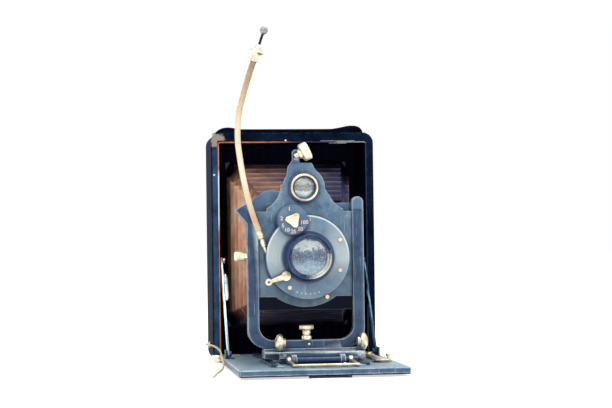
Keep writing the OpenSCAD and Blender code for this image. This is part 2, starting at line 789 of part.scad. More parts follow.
// A lens of revolution: flat edge, both faces bulging by a parabola
function bulge(r, y_edge, depth, n) = [for (i = [0 : n]) [r * (1 - i / n), y_edge + depth * (1 - pow(1 - i / n, 2))]];

module front_glass() {
    front = cover_front - barrel_reach;
    color("#9db4c6", 0.5) on_lens() turned(concat(
        bulge(glass_r, front + 3, -2.4, 8), [[0, front + 7], [10.4, front + 7], [glass_r, front + 6.8]]));
}

module rear_cell() {
    color("#20262f") on_lens() turned([
        [10.1, case_back - 1.4], [12.4, case_back - 1.4], [12.4, case_back + 9.4], [9.4, case_back + 9.4],
        [9.4, case_back + 8.6], [10.1, case_back + 8.6]]);
}

module rear_glass() {
    color("#9db4c6", 0.5) on_lens() turned(concat(
        [[10.1, case_back + 4.2], [10.1, case_back + 6.6], [9.3, case_back + 6.6]],
        bulge(9.2, case_back + 6.6, 1.8, 6), [[0, case_back + 4.2]]));
}

// Finder: a threaded ring round its glass, let into the panel
module finder_ring() {
    color("#d9cfb0") on_lens() translate([finder_x, 0, finder_z]) turned([
        [finder_r, panel_back + 2.8], [6.9, panel_back + 2.8], [6.9, panel_front], [9.9, panel_front],
        [9.9, panel_front - 1.4], [8.6, panel_front - 1.4], [8.5, panel_front - 3.2], [7.4, panel_front - 3.6],
        [7, panel_front - 2.6], [finder_r, panel_front - 2.2]]);
}

module finder_glass() {
    color("#a8bccb", 0.5) on_lens() translate([finder_x, 0, finder_z]) turned(concat(
        bulge(finder_r, panel_front - 1.6, -1.5, 6), [[0, panel_back + 1], [finder_r, panel_back + 1]]));
}

module cable_socket() {
    color("#dccfae") difference() {
        union() {
            socket_rod(-10.6, 0, 1.65);
            socket_rod(-0.1, 3.9, 2.2);
        }
        on_lens() rod_y(cover_back - 5, case_back + 5, 0, 0, case_r - 1.6);
    }
}

module cover_screws() {
    color("#e8dcc0") on_lens() for (p = screw_places) difference() {
        union() {
            rod_y(cover_front - 0.6, cover_front, p[0], p[1], 1.25);
            rod_y(cover_front - 0.1, cover_back, p[0], p[1], 0.69);
        }
        block(p[0] - 1.5, p[0] + 1.5, cover_front - 1, cover_front - 0.3, p[1] - 0.17, p[1] + 0.17);
    }
}

// Swivelling head over the finder: a knurled ring on a forked collar
module finder_head() {
    color("#ddd3bd") on_lens() translate([head_x, -standard_y, head_z]) {
        rotate([0, head_lean, 0]) {
            difference() {
                translate([0, 0, 2.95]) cylinder(h = 4.3, r = 6.4);
                translate([0, 0, 6.3]) cylinder(h = 2, r = 4.6);
            }
            difference() {
                translate([0, 0, -0.9]) cylinder(h = 4, r = 2.2);
                block(-4, 4, -0.7, 0.7, -2, 2.94);
            }
        }
        rod_y(-2.1, 2.1, 0, 0, 0.8);
    }
}

// Speed dial with its three-cornered knob
module speed_dial() {
    color("#41586f") on_lens() translate([dial_x, 0, dial_z]) {
        rod_y(cover_front - 2.6, cover_front - 0.95, 0, 0, dial_r);
        rod_y(cover_front - 1, cover_back, 0, 0, 1.2);
        rotate([0, 12, 0]) cut_plate(cover_front - 5, cover_front - 2.5) hull()
            for (k = [0 : 2]) rotate(90 + 120 * k) translate([3.4, 0]) circle(1.6, $fn = 32);
    }
}

module cocking_lever() {
    reach = 11.2;
    color("#e6dabd") on_lens() translate([cock_x, 0, cock_z]) rotate([0, -18.3, 0]) {
        rod_y(cover_front - 2.4, cover_front - 0.9, 0, 0, 2.9);
        rod_y(cover_front - 3.2, cover_front - 2.3, 0, 0, 2);
        rod_y(cover_front - 1, cover_back, 0, 0, 1);
        cut_plate(cover_front - 2.3, cover_front - 1.2) difference() {
            union() {
                polygon([[0, -1.9], [0, 1.9], [-reach + 2, 1], [-reach + 2, -1]]);
                translate([-reach, 0]) circle(2.1);
            }
            translate([-reach, 0]) circle(0.8);
        }
    }
}

// Diaphragm: a ring with the pointer that reaches out under the case
module iris_pointer() {
    back = case_back - 1.8;
    color("#dccfae") on_lens() rotate([0, 65, 0]) {
        difference() {
            rod_y(back - 1, back, 0, 0, 23.6);
            rod_y(back - 2, back + 1, 0, 0, 21.4);
        }
        block(22.5, 27.6, back - 1, back, -0.9, 0.9);
        block(26.4, 27.6, cover_front - 1.2, back, -0.9, 0.9);
        rod_y(cover_front - 1.8, cover_front - 0.4, 27, 0, 1.2);
    }
}

module iris_blade(k) {
    y = case_back - 3.1 - 0.4 * k;
    color("#15191f") on_lens() rotate([0, -30 - 120 * k, 0]) cut_plate(y, y + 0.2) difference() {
        union() {
            intersection() {
                difference() {
                    circle(20.8);
                    circle(15.4);
                }
                polygon([[0, 0], [40, 1.4], [40, 40], [-7, 40]]);
            }
            translate([iris_pin_r, 0]) circle(2);
        }
        translate([iris_pin_r, 0]) circle(0.65);
    }
}

module iris_blade_1() {
    iris_blade(0);
}

module iris_blade_2() {
    iris_blade(1);
}

module iris_blade_3() {
    iris_blade(2);
}

// Half of the shutter: covers one side of the aperture and hangs from a pin at the top
module shutter_blade(side, y) {
    color("#15191f") on_lens() mirror([side < 0 ? 1 : 0, 0, 0]) cut_plate(y, y + 0.3) difference() {
        union() {
            intersection() {
                circle(9.9);
                translate([-12, -12]) square([12.6, 24]);
            }
            polygon([[-5, 6], [0.6, 6], [0.6, 10], [4.6, blade_pivot_z], [1.4, blade_pivot_z], [-3, 10]]);
            translate([blade_pivot_x, blade_pivot_z]) circle(1.7);
        }
        translate([blade_pivot_x, blade_pivot_z]) circle(0.65);
    }
}

module shutter_blade_1() {
    shutter_blade(1, cover_back + 4.6);
}

module shutter_blade_2() {
    shutter_blade(-1, cover_back + 5.1);
}

// Release cable

module cable_sheath() {
    route = [for (p = release_route) [p[0], release_y, p[1]]];
    color("#e8d9b4") on_lens() tube_along(curve(route, 2), release_d / 2, 8);
}

module on_collar() {
    on_lens() translate([collar_x, release_y, collar_z]) rotate([0, collar_lean, 0]) children();
}

module cable_collar() {
    color("#d5ccba") on_collar() difference() {
        union() {
            translate([0, 0, -5]) cylinder(h = 11, r = 2.3);
            translate([0, 0, -5]) cylinder(h = 2, r = 2.6);
            translate([0, 0, 1]) cylinder(h = 2, r = 4.6);
        }
        cylinder(h = 10, r = 1.15);
    }
}

module cable_plunger() {
    color("#d5ccba") on_collar() {
        translate([0, 0, 4.7]) cylinder(h = 9, r = 1.1);
        translate([0, 0, 15.5]) sphere(2.6);
    }
}

// Focusing back

module focus_back() {
    color("#2f3947") {
        difference() {
            slab(-48.8, 48.8, 9.1, 149, frame_y, hood_y);
            slab(-42, 42, 22, 134, frame_y - 1, hood_y + 1);
            slab(-44, 44, 18, 136, frame_y - 1, frame_y + 1.8);
        }
        difference() {
            slab(-46, 46, 14, 145, hood_y, lid_y);
            slab(-44, 44, 16, 143, hood_y - 1, lid_y + 1);
        }
        for (x = [-40, 32]) difference() {
            union() {
                rod_x(x, x + 8, lid_hinge_y, lid_hinge_z, 1.6);
                block(x, x + 8, lid_hinge_y - 1.6, lid_hinge_y, 144.9, lid_hinge_z);
            }
            rod_x(x - 1, x + 9, lid_hinge_y, lid_hinge_z, 0.65);
        }
    }
}

module ground_glass() {
    color("#c9d3d6", 0.6) slab(-43.9, 43.9, 18.1, 135.9, frame_y + 0.1, frame_y + 1.75);
}

module hood_lid() {
    color("#1d2532") {
        slab(-46, 46, 14, 144.6, lid_y + 0.1, lid_y + 1.5);
        block(-31.7, 31.7, lid_y + 0.1, lid_y + 1.2, 144.5, lid_hinge_z);
        rod_x(-31.9, 31.9, lid_hinge_y, lid_hinge_z, 1.6);
        rod_x(-40, 40, lid_hinge_y, lid_hinge_z, 0.6);
        block(-6, 6, lid_y + 1.5, lid_y + 2.5, 15, 18);
    }
}

// Catch that holds the shut bed: a spring tongue inside the top with its press button
module bed_catch() {
    color("#8e9aa3") {
        block(19, 43, front_y + 1, front_y + 7, in_high + 0.6, in_high + 1.6);
        rod_x(25, 37, front_y + 2, in_high - 0.2, 0.9);
        translate([catch_x, catch_y, in_high + 1]) cylinder(h = body_h - in_high - 1.1, r = 1.9);
    }
}

body_shell();
leather_cover();
back_rails();
handle_strap();
strap_anchors();
body_knuckles();
hinge_pins();
bellows_rear();
lace_eyelet();
lace();
bed_plate();
bed_leather();
bed_knuckles();
bed_guides();
bed_bush();
leg_hinge();
strut_feet();
lever_post();
bellows_front();
strut_left();
strut_right();
stand_leg();
focus_lever();
focus_track();
base_sled();
clamp_tube();
bail_wire();
clamp_left();
clamp_right();
u_frame();
rear_board();
cross_lock();
rise_lock();
lens_panel();
shutter_case();
shutter_cover();
lens_barrel();
front_glass();
rear_cell();
rear_glass();
finder_ring();
finder_glass();
cable_socket();
cover_screws();
finder_head();
speed_dial();
cocking_lever();
iris_pointer();
iris_blade_1();
iris_blade_2();
iris_blade_3();
shutter_blade_1();
shutter_blade_2();
cable_sheath();
cable_collar();
cable_plunger();
focus_back();
ground_glass();
hood_lid();
bed_catch();
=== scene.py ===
# %% [markdown]
# # A folding plate camera, dressed for its photograph
# The shapes that work (box, bed, standard, shutter, locks) come from the measured solids.
# This script adds what a camera maker's finishing shop adds: enamel, nickel, leather, glass,
# the folded bellows, the stitched strap and the marks on the dial.
# Lengths below are millimetres until a mesh is made, because the real drawings are in millimetres.

import bmesh
import bpy
import numpy as np
from mathutils import Matrix


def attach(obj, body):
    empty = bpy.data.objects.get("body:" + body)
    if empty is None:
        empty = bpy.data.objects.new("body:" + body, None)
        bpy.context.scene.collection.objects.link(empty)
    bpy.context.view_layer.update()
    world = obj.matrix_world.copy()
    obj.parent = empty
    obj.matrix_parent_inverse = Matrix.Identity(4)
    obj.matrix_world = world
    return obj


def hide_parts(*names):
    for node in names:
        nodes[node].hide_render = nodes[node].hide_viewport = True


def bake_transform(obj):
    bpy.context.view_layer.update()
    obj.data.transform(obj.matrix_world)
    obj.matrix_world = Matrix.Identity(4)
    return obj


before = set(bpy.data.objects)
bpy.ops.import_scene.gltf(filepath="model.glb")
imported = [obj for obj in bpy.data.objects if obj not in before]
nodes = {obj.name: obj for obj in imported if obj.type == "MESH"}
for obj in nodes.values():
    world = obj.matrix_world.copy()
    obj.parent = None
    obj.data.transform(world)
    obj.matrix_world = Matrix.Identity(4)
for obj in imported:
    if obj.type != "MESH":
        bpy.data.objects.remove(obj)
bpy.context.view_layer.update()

MM = 0.001

# %% [markdown]
# ## The camera that took the picture
# A photograph fixes its camera: the vanishing lines of the box give the direction, and the
# box's known height gives the distance. The lens is long for its frame, so the box shows
# almost no perspective. The camera is built from its three directions: right, up and back.

# %% Stand the camera where the photographer stood
CAMERA_PLACE = (-0.1470, -1.1377, 0.0835)
YAW, PITCH, ROLL = np.radians((7.94, 1.12, -0.72))
SENSOR_MM, FOCAL_MM, NEAREST_M = 36.0, 98.6, 0.01


def shown(name, data):
    """An object in the scene."""
    made = bpy.data.objects.new(name, data)
    bpy.context.scene.collection.objects.link(made)
    return made


def photo_camera():
    """Camera whose view runs along (sin yaw cos pitch, cos yaw cos pitch, sin pitch), then rolls."""
    ahead = np.array((np.sin(YAW) * np.cos(PITCH), np.cos(YAW) * np.cos(PITCH), np.sin(PITCH)))
    level = np.array((np.cos(YAW), -np.sin(YAW), 0.0))
    upright = np.cross(level, ahead)
    right = np.cos(ROLL) * level + np.sin(ROLL) * upright
    up = -np.sin(ROLL) * level + np.cos(ROLL) * upright
    data = bpy.data.cameras.new("photo_camera")
    data.sensor_width, data.lens, data.clip_start = SENSOR_MM, FOCAL_MM, NEAREST_M
    camera = shown("photo_camera", data)
    turned = np.eye(4)
    turned[:3, 0], turned[:3, 1], turned[:3, 2], turned[:3, 3] = right, up, -ahead, CAMERA_PLACE
    camera.matrix_world = Matrix(turned.tolist())
    return camera


bpy.context.scene.camera = photo_camera()
print("camera at", CAMERA_PLACE)

# %% [markdown]
# ## Surfaces from grids
# Almost every added piece is a grid of points: rows run along it and columns run round it.
# One function turns such a grid into a closed mesh, so each piece is only its formula.

# %% Turn a grid of points into a piece
WELD_M = 2e-6
SHARP_FROM = np.radians(38)
FORWARD = np.array((0.0, -1.0, 0.0))


def round_angles(count):
    """Angles all the way round, the last one short of the first."""
    return np.linspace(0, 2 * np.pi, count, endpoint=False)


def circle(angle):
    """(cos, 0, sin) of each angle: a circle in the front view."""
    return np.stack((np.cos(angle), np.zeros(len(angle)), np.sin(angle)), -1)


def unit(rows):
    return rows / np.linalg.norm(rows, axis=1, keepdims=True)


def surface(name, grid, loop=False, marks=None):
    """Mesh over grid[row, column] in millimetres. The last column joins the first. loop joins the last row
    to the first too; without it each end row gets a flat cap. marks are values kept at the points."""
    grid = np.asarray(grid, float)
    rows, columns = grid.shape[:2]
    number = np.arange(rows * columns).reshape(rows, columns)
    across = np.concatenate((number, number[:, :1]), 1)
    both = np.concatenate((across, across[:1]), 0) if loop else across
    quads = np.stack((both[:-1, :-1], both[:-1, 1:], both[1:, 1:], both[1:, :-1]), -1).reshape(-1, 4)
    faces = quads.tolist()
    if not loop:
        faces += [number[0].tolist(), number[-1, ::-1].tolist()]
    mesh = bpy.data.meshes.new(name)
    mesh.from_pydata((grid.reshape(-1, 3) * MM).tolist(), [], faces)
    for mark, values in (marks or {}).items():
        values = np.asarray(values, float).reshape(rows * columns, -1)
        kind = "FLOAT_VECTOR" if values.shape[1] == 3 else "FLOAT"
        layer = mesh.attributes.new(mark, kind, "POINT")
        layer.data.foreach_set("vector" if values.shape[1] == 3 else "value", values.ravel())
    return close_up(mesh)


def close_up(mesh):
    """Welds doubled points and turns every face outwards."""
    work = bmesh.new()
    work.from_mesh(mesh)
    bmesh.ops.remove_doubles(work, verts=work.verts, dist=WELD_M)
    bmesh.ops.recalc_face_normals(work, faces=work.faces)
    work.to_mesh(mesh)
    work.free()
    return mesh


def piece(name, mesh, material, body, slot, smooth=True, stands_for=()):
    """Object for a mesh that already lies in its place: it rides on a body and may stand for solids."""
    made = shown(name, mesh)
    mesh.materials.append(material)
    mesh.polygons.foreach_set("use_smooth", np.full(len(mesh.polygons), smooth))
    if smooth:
        mesh.set_sharp_from_angle(angle=SHARP_FROM)
    if body:
        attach(made, body)
    if stands_for:
        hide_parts(*stands_for)
    return made


def grid_piece(name, grid, material, body, slot, loop=False, marks=None, **how):
    """A piece straight from its grid of points."""
    return piece(name, surface(name, grid, loop, marks), material, body, slot, **how)


# %% [markdown]
# ## The two cords
# A cord is settled before anything else, because its length is fixed. The release cable is a wire
# coil in woven cloth: stiff enough to stand up in the slow bend that the photograph shows. The lace
# is cut leather, limp, and lies where it falls. Both follow one smooth curve through a few points.

# %% Routes of the cords
LENS_AXIS = np.array((-4.0, 0.0, 71.0))
DIAL = LENS_AXIS + (-9.4, 0, 22.8)
# The cable bends in one upright plane; its points (x, z) are from the lens axis
RELEASE_Y = -113.5
RELEASE_ROUTE = [(-29.75, 16.6), (-32.8, 25), (-35.6, 34.5), (-38.5, 47.5), (-40.6, 60), (-42, 73),
                 (-41.4, 86.5), (-39, 97.5), (-36.1, 107.5), (-33.9, 114.5), (-31.75, 120.6)]
RELEASE_WIDE = 3.6
LACE_ROUTE = [(-56.4, 4, 11), (-57.4, 2.3, 11.2), (-57.8, -3, 11.7), (-57.6, -11, 12), (-56.6, -20, 12.1),
              (-53.9, -31, 11.3), (-52.2, -42, 9.6), (-52.15, -52, 7.4), (-52.15, -61, 5.2),
              (-52.4, -69, 3.3), (-53.4, -78, 1.8), (-55.3, -89, 0.95), (-57.9, -102, 0.8), (-61, -119, 0.8),
              (-64.8, -140, 0.8)]
LACE_WIDE = 1.3


def smooth_route(points, steps):
    """Curve through the points: between b and c, with neighbours a and d, it is
    half of 2b + (c - a)t + (2a - 5b + 4c - d)t^2 + (3b - a - 3c + d)t^3."""
    p = np.asarray(points, float)
    a = np.concatenate((p[:1], p[:-2]))[:, None]
    b, c = p[:-1, None], p[1:, None]
    d = np.concatenate((p[2:], p[-1:]))[:, None]
    t = np.linspace(0, 1, steps, endpoint=False)[None, :, None]
    line = 0.5 * (2 * b + (c - a) * t + (2 * a - 5 * b + 4 * c - d) * t**2 + (3 * b - a - 3 * c + d) * t**3)
    return np.concatenate((line.reshape(-1, 3), p[-1:]))


def route_length(line):
    """Sum of the steps between neighbouring points."""
    return float(np.linalg.norm(np.diff(line, axis=0), axis=1).sum())


def tube(line, radius, sides, up):
    """Point (i, k) = line[i] + radius[i] (cos k side[i] + sin k rise[i]), square to the line's direction."""
    ahead = unit(np.gradient(line, axis=0))
    side = unit(np.cross(ahead, up))
    rise = np.cross(side, ahead)
    angle = round_angles(sides)[None, :, None]
    radius = np.broadcast_to(radius, len(line))[:, None, None]
    grid = line[:, None] + radius * (np.cos(angle) * side[:, None] + np.sin(angle) * rise[:, None])
    along = np.concatenate(([0], np.cumsum(np.linalg.norm(np.diff(line, axis=0), axis=1))))
    lay = np.broadcast_to(angle, (len(line), sides, 1))
    lay = np.concatenate((np.broadcast_to(along[:, None, None], lay.shape), np.cos(lay), np.sin(lay)), -1)
    return grid, lay


release_points = [LENS_AXIS + (x, RELEASE_Y, z) for x, z in RELEASE_ROUTE]
release_line = smooth_route(release_points, steps=16)
lace_line = smooth_route(LACE_ROUTE, steps=12)
for cord, line in (("release cable", release_line), ("lace", lace_line)):
    print(cord, round(route_length(line), 1), "mm")

# %% [markdown]
# ## One way to make a finish
# Every finish starts from the real material. A colour is written as it looks on a screen and turned
# to light by one function. A finish holds its nodes together: each method adds a node and hands back
# its output, so a finish reads like the sum that it is. Places on the object are in millimetres.

# %% Colours and nodes


def colour(hex_text):
    """Linear light from an sRGB hex colour: (c + 0.055) / 1.055 to the power 2.4 above 0.04045."""
    screen = np.array([int(hex_text[i:i + 2], 16) / 255 for i in (1, 3, 5)])
    light = np.where(screen > 0.04045, ((screen + 0.055) / 1.055) ** 2.4, screen / 12.92)
    return (*light.tolist(), 1.0)


class Nodes:
    """A node tree being written. A socket takes a plain value or another node's output."""

    def __init__(self, tree):
        self.tree = tree

    def add(self, kind, sockets=None, **settings):
        """One node's outputs; settings are its own choices."""
        made = self.tree.nodes.new("ShaderNode" + kind)
        for name, value in settings.items():
            setattr(made, name, value)
        for name, value in (sockets or {}).items():
            if isinstance(value, bpy.types.NodeSocket):
                self.tree.links.new(value, made.inputs[name])
            else:
                made.inputs[name].default_value = value
        return made.outputs

    def band(self, value, low=0.0, high=1.0, start=0.0, end=1.0):
        """Runs from start to end while the value runs from low to high, and stays there outside."""
        return self.add("MapRange", {0: value, 1: low, 2: high, 3: start, 4: end})[0]

    def calc(self, operation, *values):
        return self.add("Math", dict(enumerate(values)), operation=operation)[0]

    def times(self, product, *factors):
        for factor in factors:
            product = self.calc("MULTIPLY", product, factor)
        return product

    def vector(self, operation, *values, out="Vector"):
        return self.add("VectorMath", dict(enumerate(values)), operation=operation)[out]

    def split(self, vector):
        return self.add("SeparateXYZ", {0: vector})

    def mix(self, amount, low, high):
        """Colour that runs from low to high; each is a hex colour or another node's output."""
        low, high = [colour(c) if isinstance(c, str) else c for c in (low, high)]
        return self.add("Mix", {0: amount, 6: low, 7: high}, data_type="RGBA")[2]


class Finish(Nodes):
    """A named material with one Principled shader, its plain numbers set on its own sockets."""

    def __init__(self, name, **sockets):
        self.material = bpy.data.materials.new(name)
        self.material.use_nodes = True
        super().__init__(self.material.node_tree)
        self.shader = self.tree.nodes["Principled BSDF"]
        self.tone = None
        for socket, value in sockets.items():
            self.shader.inputs[socket.replace("_", " ")].default_value = value

    def coat(self, amount, shade):
        """Lays another colour over the tone so far."""
        self.tone = self.mix(amount, self.tone, shade)

    def done(self):
        if self.tone:
            self.feed("Base Color", self.tone)
        return self.material

    def place(self):
        return self.add("TexCoord")["Object"]

    def facing(self, axis):
        """How far the face looks along an axis, from -1 to 1."""
        return self.split(self.add("TexCoord")["Normal"])[axis]

    def feed(self, socket, value):
        self.tree.links.new(value, self.shader.inputs[socket])

    def zone(self, axis, low_mm, high_mm, end=1.0):
        """Share that grows from 0 to end between two planes square to an axis."""
        return self.band(self.split(self.place())[axis], low_mm * MM, high_mm * MM, end=end)

    def noise(self, scale, detail=2.0, rough=0.5, warp=0.0, at=None):
        return self.add("TexNoise", {"Vector": at or self.place(), "Scale": scale, "Detail": detail,
                                     "Roughness": rough, "Distortion": warp})[0]

    def stretched(self, scale, turn=(0.0, 0.0, 0.0)):
        return self.add("Mapping", {"Vector": self.place(), "Scale": scale, "Rotation": turn})[0]

    def ramp(self, amount, stops):
        """Colour ramp: stops is a list of (place from 0 to 1, hex colour)."""
        made = self.add("ValToRGB", {0: amount})
        ends = made[0].node.color_ramp.elements
        while len(ends) < len(stops):
            ends.new(0.5)
        for end, (place, shade) in zip(ends, stops):
            end.position, end.color = place, colour(shade)
        return made[0]

    def edges(self, radius_mm, grit):
        """Rounded normal, and a mask that is 1 where it turns away from its own flat face, broken by grit."""
        soft = self.add("Bevel", {"Radius": radius_mm * MM}, samples=6)[0]
        flat = self.add("NewGeometry")["True Normal"]
        agree = self.vector("DOT_PRODUCT", soft, flat, out="Value")
        return soft, self.times(self.band(agree, 0.99, 0.88), grit)

    def bump(self, height, strength, depth_mm, soft=None):
        sockets = {"Strength": strength, "Distance": depth_mm * MM, "Height": height}
        if soft is not None:
            sockets["Normal"] = soft
        self.feed("Normal", self.add("Bump", sockets)[0])

    def from_lens(self):
        """(x, z) from the lens axis as a flat vector, and its length."""
        level = self.vector("MULTIPLY", self.vector("SUBTRACT", self.place(), (LENS_AXIS * MM).tolist()),
                            (1.0, 0.0, 1.0))
        return level, self.vector("LENGTH", level, out="Value")


# %% [markdown]
# ## Stoved enamel
# The standard, the bed and the shutter are brass pressings under slate blue enamel that was baked on.
# Baked enamel is smooth but not glossy: it has faint cloudy patches, fine dust in it, and where a
# hand rubs a corner it thins to the pale metal. The cloud is about 9 mm, the dust 0.5 mm.

# %% Slate blue, dark blue, black and brown enamel
# Black paint, and also the painted shade on the board below the panel
BLACK_PAINT_AND_SHADE = "#060a1a"
# The lathe left a groove about every 0.9 mm: 2 pi / 0.0009
RADIANS_PER_M = 7000.0


def turned_face(f):
    """Shutter face: (x, z) from the lens axis gives the radius. Fine rings come from the lathe and the raised
    ring inside 16.6 mm is darker; painted highlights lie at the left and right and along the rim's upper
    part."""
    level, radius = f.from_lens()
    parts = f.split(level)
    share = f.calc("DIVIDE", f.calc("ABSOLUTE", parts["X"]), radius)
    # Painted highlight: pale at the left and right, where the rings run up and down, and none in the lowest
    # part
    painted_highlight = f.times(f.band(share, 0.5, 1.0, end=0.75), f.band(parts["Z"], -16 * MM, -2 * MM))
    f.coat(painted_highlight, "#c6d1cf")
    groove = f.calc("SINE", f.times(radius, RADIANS_PER_M))
    f.coat(f.band(groove, 0.1, 1.0, end=0.38), "#3f5a7c")
    # Painted highlight: a thin pale line along the rim's upper part
    rim = f.times(f.band(radius, 24.7 * MM, 25 * MM), f.band(parts["Z"], -4 * MM, 6 * MM, end=0.85))
    f.coat(rim, "#dfe6e2")
    f.coat(f.band(radius, 16.9 * MM, 16.6 * MM), "#3a4e70")
    return groove


def enamel(name, deep, pale, wear_and_outline, rough, edge_amount=0.8, turned=False, capped=False, shaded=False, top=None,
           neck=False):
    """Baked enamel: two close tones in clouds, dust specks, scratches, rubbed edges in the edge colour and
    painted shade in the corners; options add painted light and shade.
    """
    f = Finish(name, Roughness=rough, Specular_IOR_Level=0.42, Coat_Weight=0.12, Coat_Roughness=0.25)
    cloud, dust = f.noise(110.0, 4.0, 0.62), f.noise(1900.0)
    f.tone = f.mix(f.band(cloud, 0.33, 0.68), deep, pale)
    f.coat(f.band(dust, 0.67, 0.78, end=0.55), wear_and_outline)
    hair = f.noise(1.0, 1.0, at=f.stretched((900.0, 900.0, 60.0), (0.3, 0.7, 0.2)))
    f.coat(f.band(hair, 0.7, 0.76, end=0.3), wear_and_outline)
    height = turned_face(f) if turned else dust
    if capped:
        # The right upright's end above its stop is a lighter blue
        f.coat(f.times(f.zone("Z", 100.4, 100.8), f.zone("X", 10, 11, 0.75)), "#5f7c98")
    if neck:
        # The finder's bracket on top of the panel is a darker blue, above 129 mm and left of -6.8 mm
        f.coat(f.times(f.zone("Z", 128.5, 129.2), f.zone("X", -6.2, -6.8, 0.8)), "#2b4870")
        # Painted shade: the round lower edge darkens from 58 mm down, as if in the shutter cover's shade
        f.coat(f.zone("Z", 58, 45, 0.7), "#2a4663")
        # The panel's back is painted black against stray light
        f.coat(f.band(f.facing("Y"), 0.8, 0.95), BLACK_PAINT_AND_SHADE)
    if top:
        # Painted light: faces that look up are lightened in speckles, as if lit from above
        top_light_speckle = f.band(f.noise(520.0, 6.0, 0.75), 0.4, 0.58, 0.25, 1.0)
        f.coat(f.times(f.band(f.facing("Z"), 0.6, 0.95, end=0.75), top_light_speckle), top)
    if shaded:
        # Painted shade: below the panel's shoulders the board is made black, as the shade behind the panel
        f.coat(f.zone("Z", 99.5, 99), BLACK_PAINT_AND_SHADE)
        f.shader.inputs["Specular IOR Level"].default_value = 0.08
        f.shader.inputs["Coat Weight"].default_value = 0.0
        edge_amount = 0.3
    # Edges take the edge colour: pale wear on most enamels, a painted shadow outline on the dial
    soft, edge = f.edges(0.7, f.band(cloud, 0.3, 0.6, 0.35, 1.0))
    f.coat(f.times(edge, edge_amount), wear_and_outline)
    # Painted shade: the corners where two parts meet are darkened, as contact shadow
    hollow = f.add("AmbientOcclusion", {"Distance": 3.5 * MM}, samples=6)["AO"]
    f.coat(f.band(hollow, 0.85, 0.4, end=0.85), "#0e2146")
    f.bump(height, strength=0.25, depth_mm=0.1, soft=soft)
    return f.done()


# Where a top colour is given, it is painted light on the faces that look up
slate_enamel = enamel("slate_blue_stoved_enamel", "#3f5c78", "#6d8aa0", "#c9d8dc", 0.42, neck=True)
shutter_enamel = enamel("turned_shutter_enamel", "#557390", "#7993a6", "#dfe6e6", 0.36, edge_amount=0.45,
                        turned=True)
frame_enamel = enamel("steel_blue_pressed_enamel", "#0f2a50", "#2a4f70", "#c9d8dc", 0.36, edge_amount=1.0,
                      capped=True, top="#b4c2c4")
bed_enamel = enamel("bed_blue_enamel", "#1f4468", "#426a88", "#eef2ee", 0.45, edge_amount=1.0, top="#98aeb4")
# On the dial the edge colour is dark navy, so its edges carry a painted shadow outline
dial_enamel = enamel("speed_dial_enamel", "#4a6782", "#6f8a9e", "#1b3156", 0.4, edge_amount=1.0)
case_enamel = enamel("shutter_case_enamel", "#2a4463", "#48637f", "#a3b8c4", 0.4, edge_amount=0.7)
board_enamel = enamel("shaded_board_enamel", "#4f6a8a", "#6c84a0", "#b9cad2", 0.42, shaded=True)
dark_enamel = enamel("dark_blue_enamel", "#12264a", "#26426a", "#8fa6ba", 0.34, top="#8fa3b0")
black_enamel = enamel("black_blue_satin_enamel", "#050a16", "#0e1830", "#4a5c74", 0.32, edge_amount=0.5)
brown_enamel = enamel("brown_stoved_enamel", "#5d3625", "#8a5740", "#c79a78", 0.45)
print("enamels:", 10)

# %% [markdown]
# ## Nickel, steel and brass
# The knobs, levers and rings were nickel plated. Old nickel goes warm and cloudy, and it still reflects
# what is round it, so it is a metal with a cream colour and patches of tarnish that roughen it.

# %% Plated metals and the blued mount


def plated(name, bright, tarnish, rough, patch_mm=6.0):
    """Plated metal: tarnish in patches that also roughen it, and fine polishing lines."""
    f = Finish(name, Metallic=0.88)
    patch = f.noise(1.0 / (patch_mm * MM), 5.0, 0.65)
    f.tone = f.mix(f.band(patch, 0.42, 0.72), bright, tarnish)
    soft, edge = f.edges(0.25, 0.6)
    f.coat(edge, bright)
    f.feed("Roughness", f.band(patch, 0.35, 0.75, rough, rough + 0.22))
    lines = f.noise(1.0, at=f.stretched((400.0, 400.0, 2600.0)))
    f.bump(lines, strength=0.12, depth_mm=0.1, soft=soft)
    return f.done()


def blued_mount():
    """Blued brass round the lens: (x, z) from the lens axis, divided by its length, gives a direction. The
    burnished bevel inside 13.1 mm is navy, with a painted reflection of the bright room to the lower right."""
    f = Finish("blued_lens_mount", Metallic=0.5, Roughness=0.28)
    level, radius = f.from_lens()
    toward = f.vector("DOT_PRODUCT", f.vector("NORMALIZE", level), (0.77, 0.0, -0.64), out="Value")
    grain = f.noise(900.0, 4.0)
    painted_crescent = f.band(f.calc("MULTIPLY_ADD", grain, 0.5, toward), 0.75, 1.1)
    f.tone = f.mix(f.band(grain, 0.4, 0.65), "#182a5a", "#34507e")
    # Painted reflection: a cream crescent on the bevel's lower right
    f.coat(f.times(painted_crescent, f.band(radius, 13.2 * MM, 13 * MM)), "#f4efdc")
    return f.done()


aged_nickel = plated("aged_nickel_plate", "#efe3c9", "#b09a76", 0.26)
dull_nickel = plated("dulled_nickel_plate", "#b3b1a6", "#4c566c", 0.3, patch_mm=4.0)
pale_steel = plated("bright_plated_strip_steel", "#cfe3e6", "#93abb5", 0.3)
# Blued steel; on the right strut it also stands as painted shade
blued_steel_and_shade = plated("blued_and_shaded_strip_steel", "#4a687f", "#142845", 0.34, patch_mm=9.0)
turned_brass = plated("turned_brass", "#d8bd7c", "#8e7440", 0.3)
black_steel = plated("blackened_spring_steel", "#22262c", "#15181c", 0.35)
mount_blue = blued_mount()
print("metals:", 7)
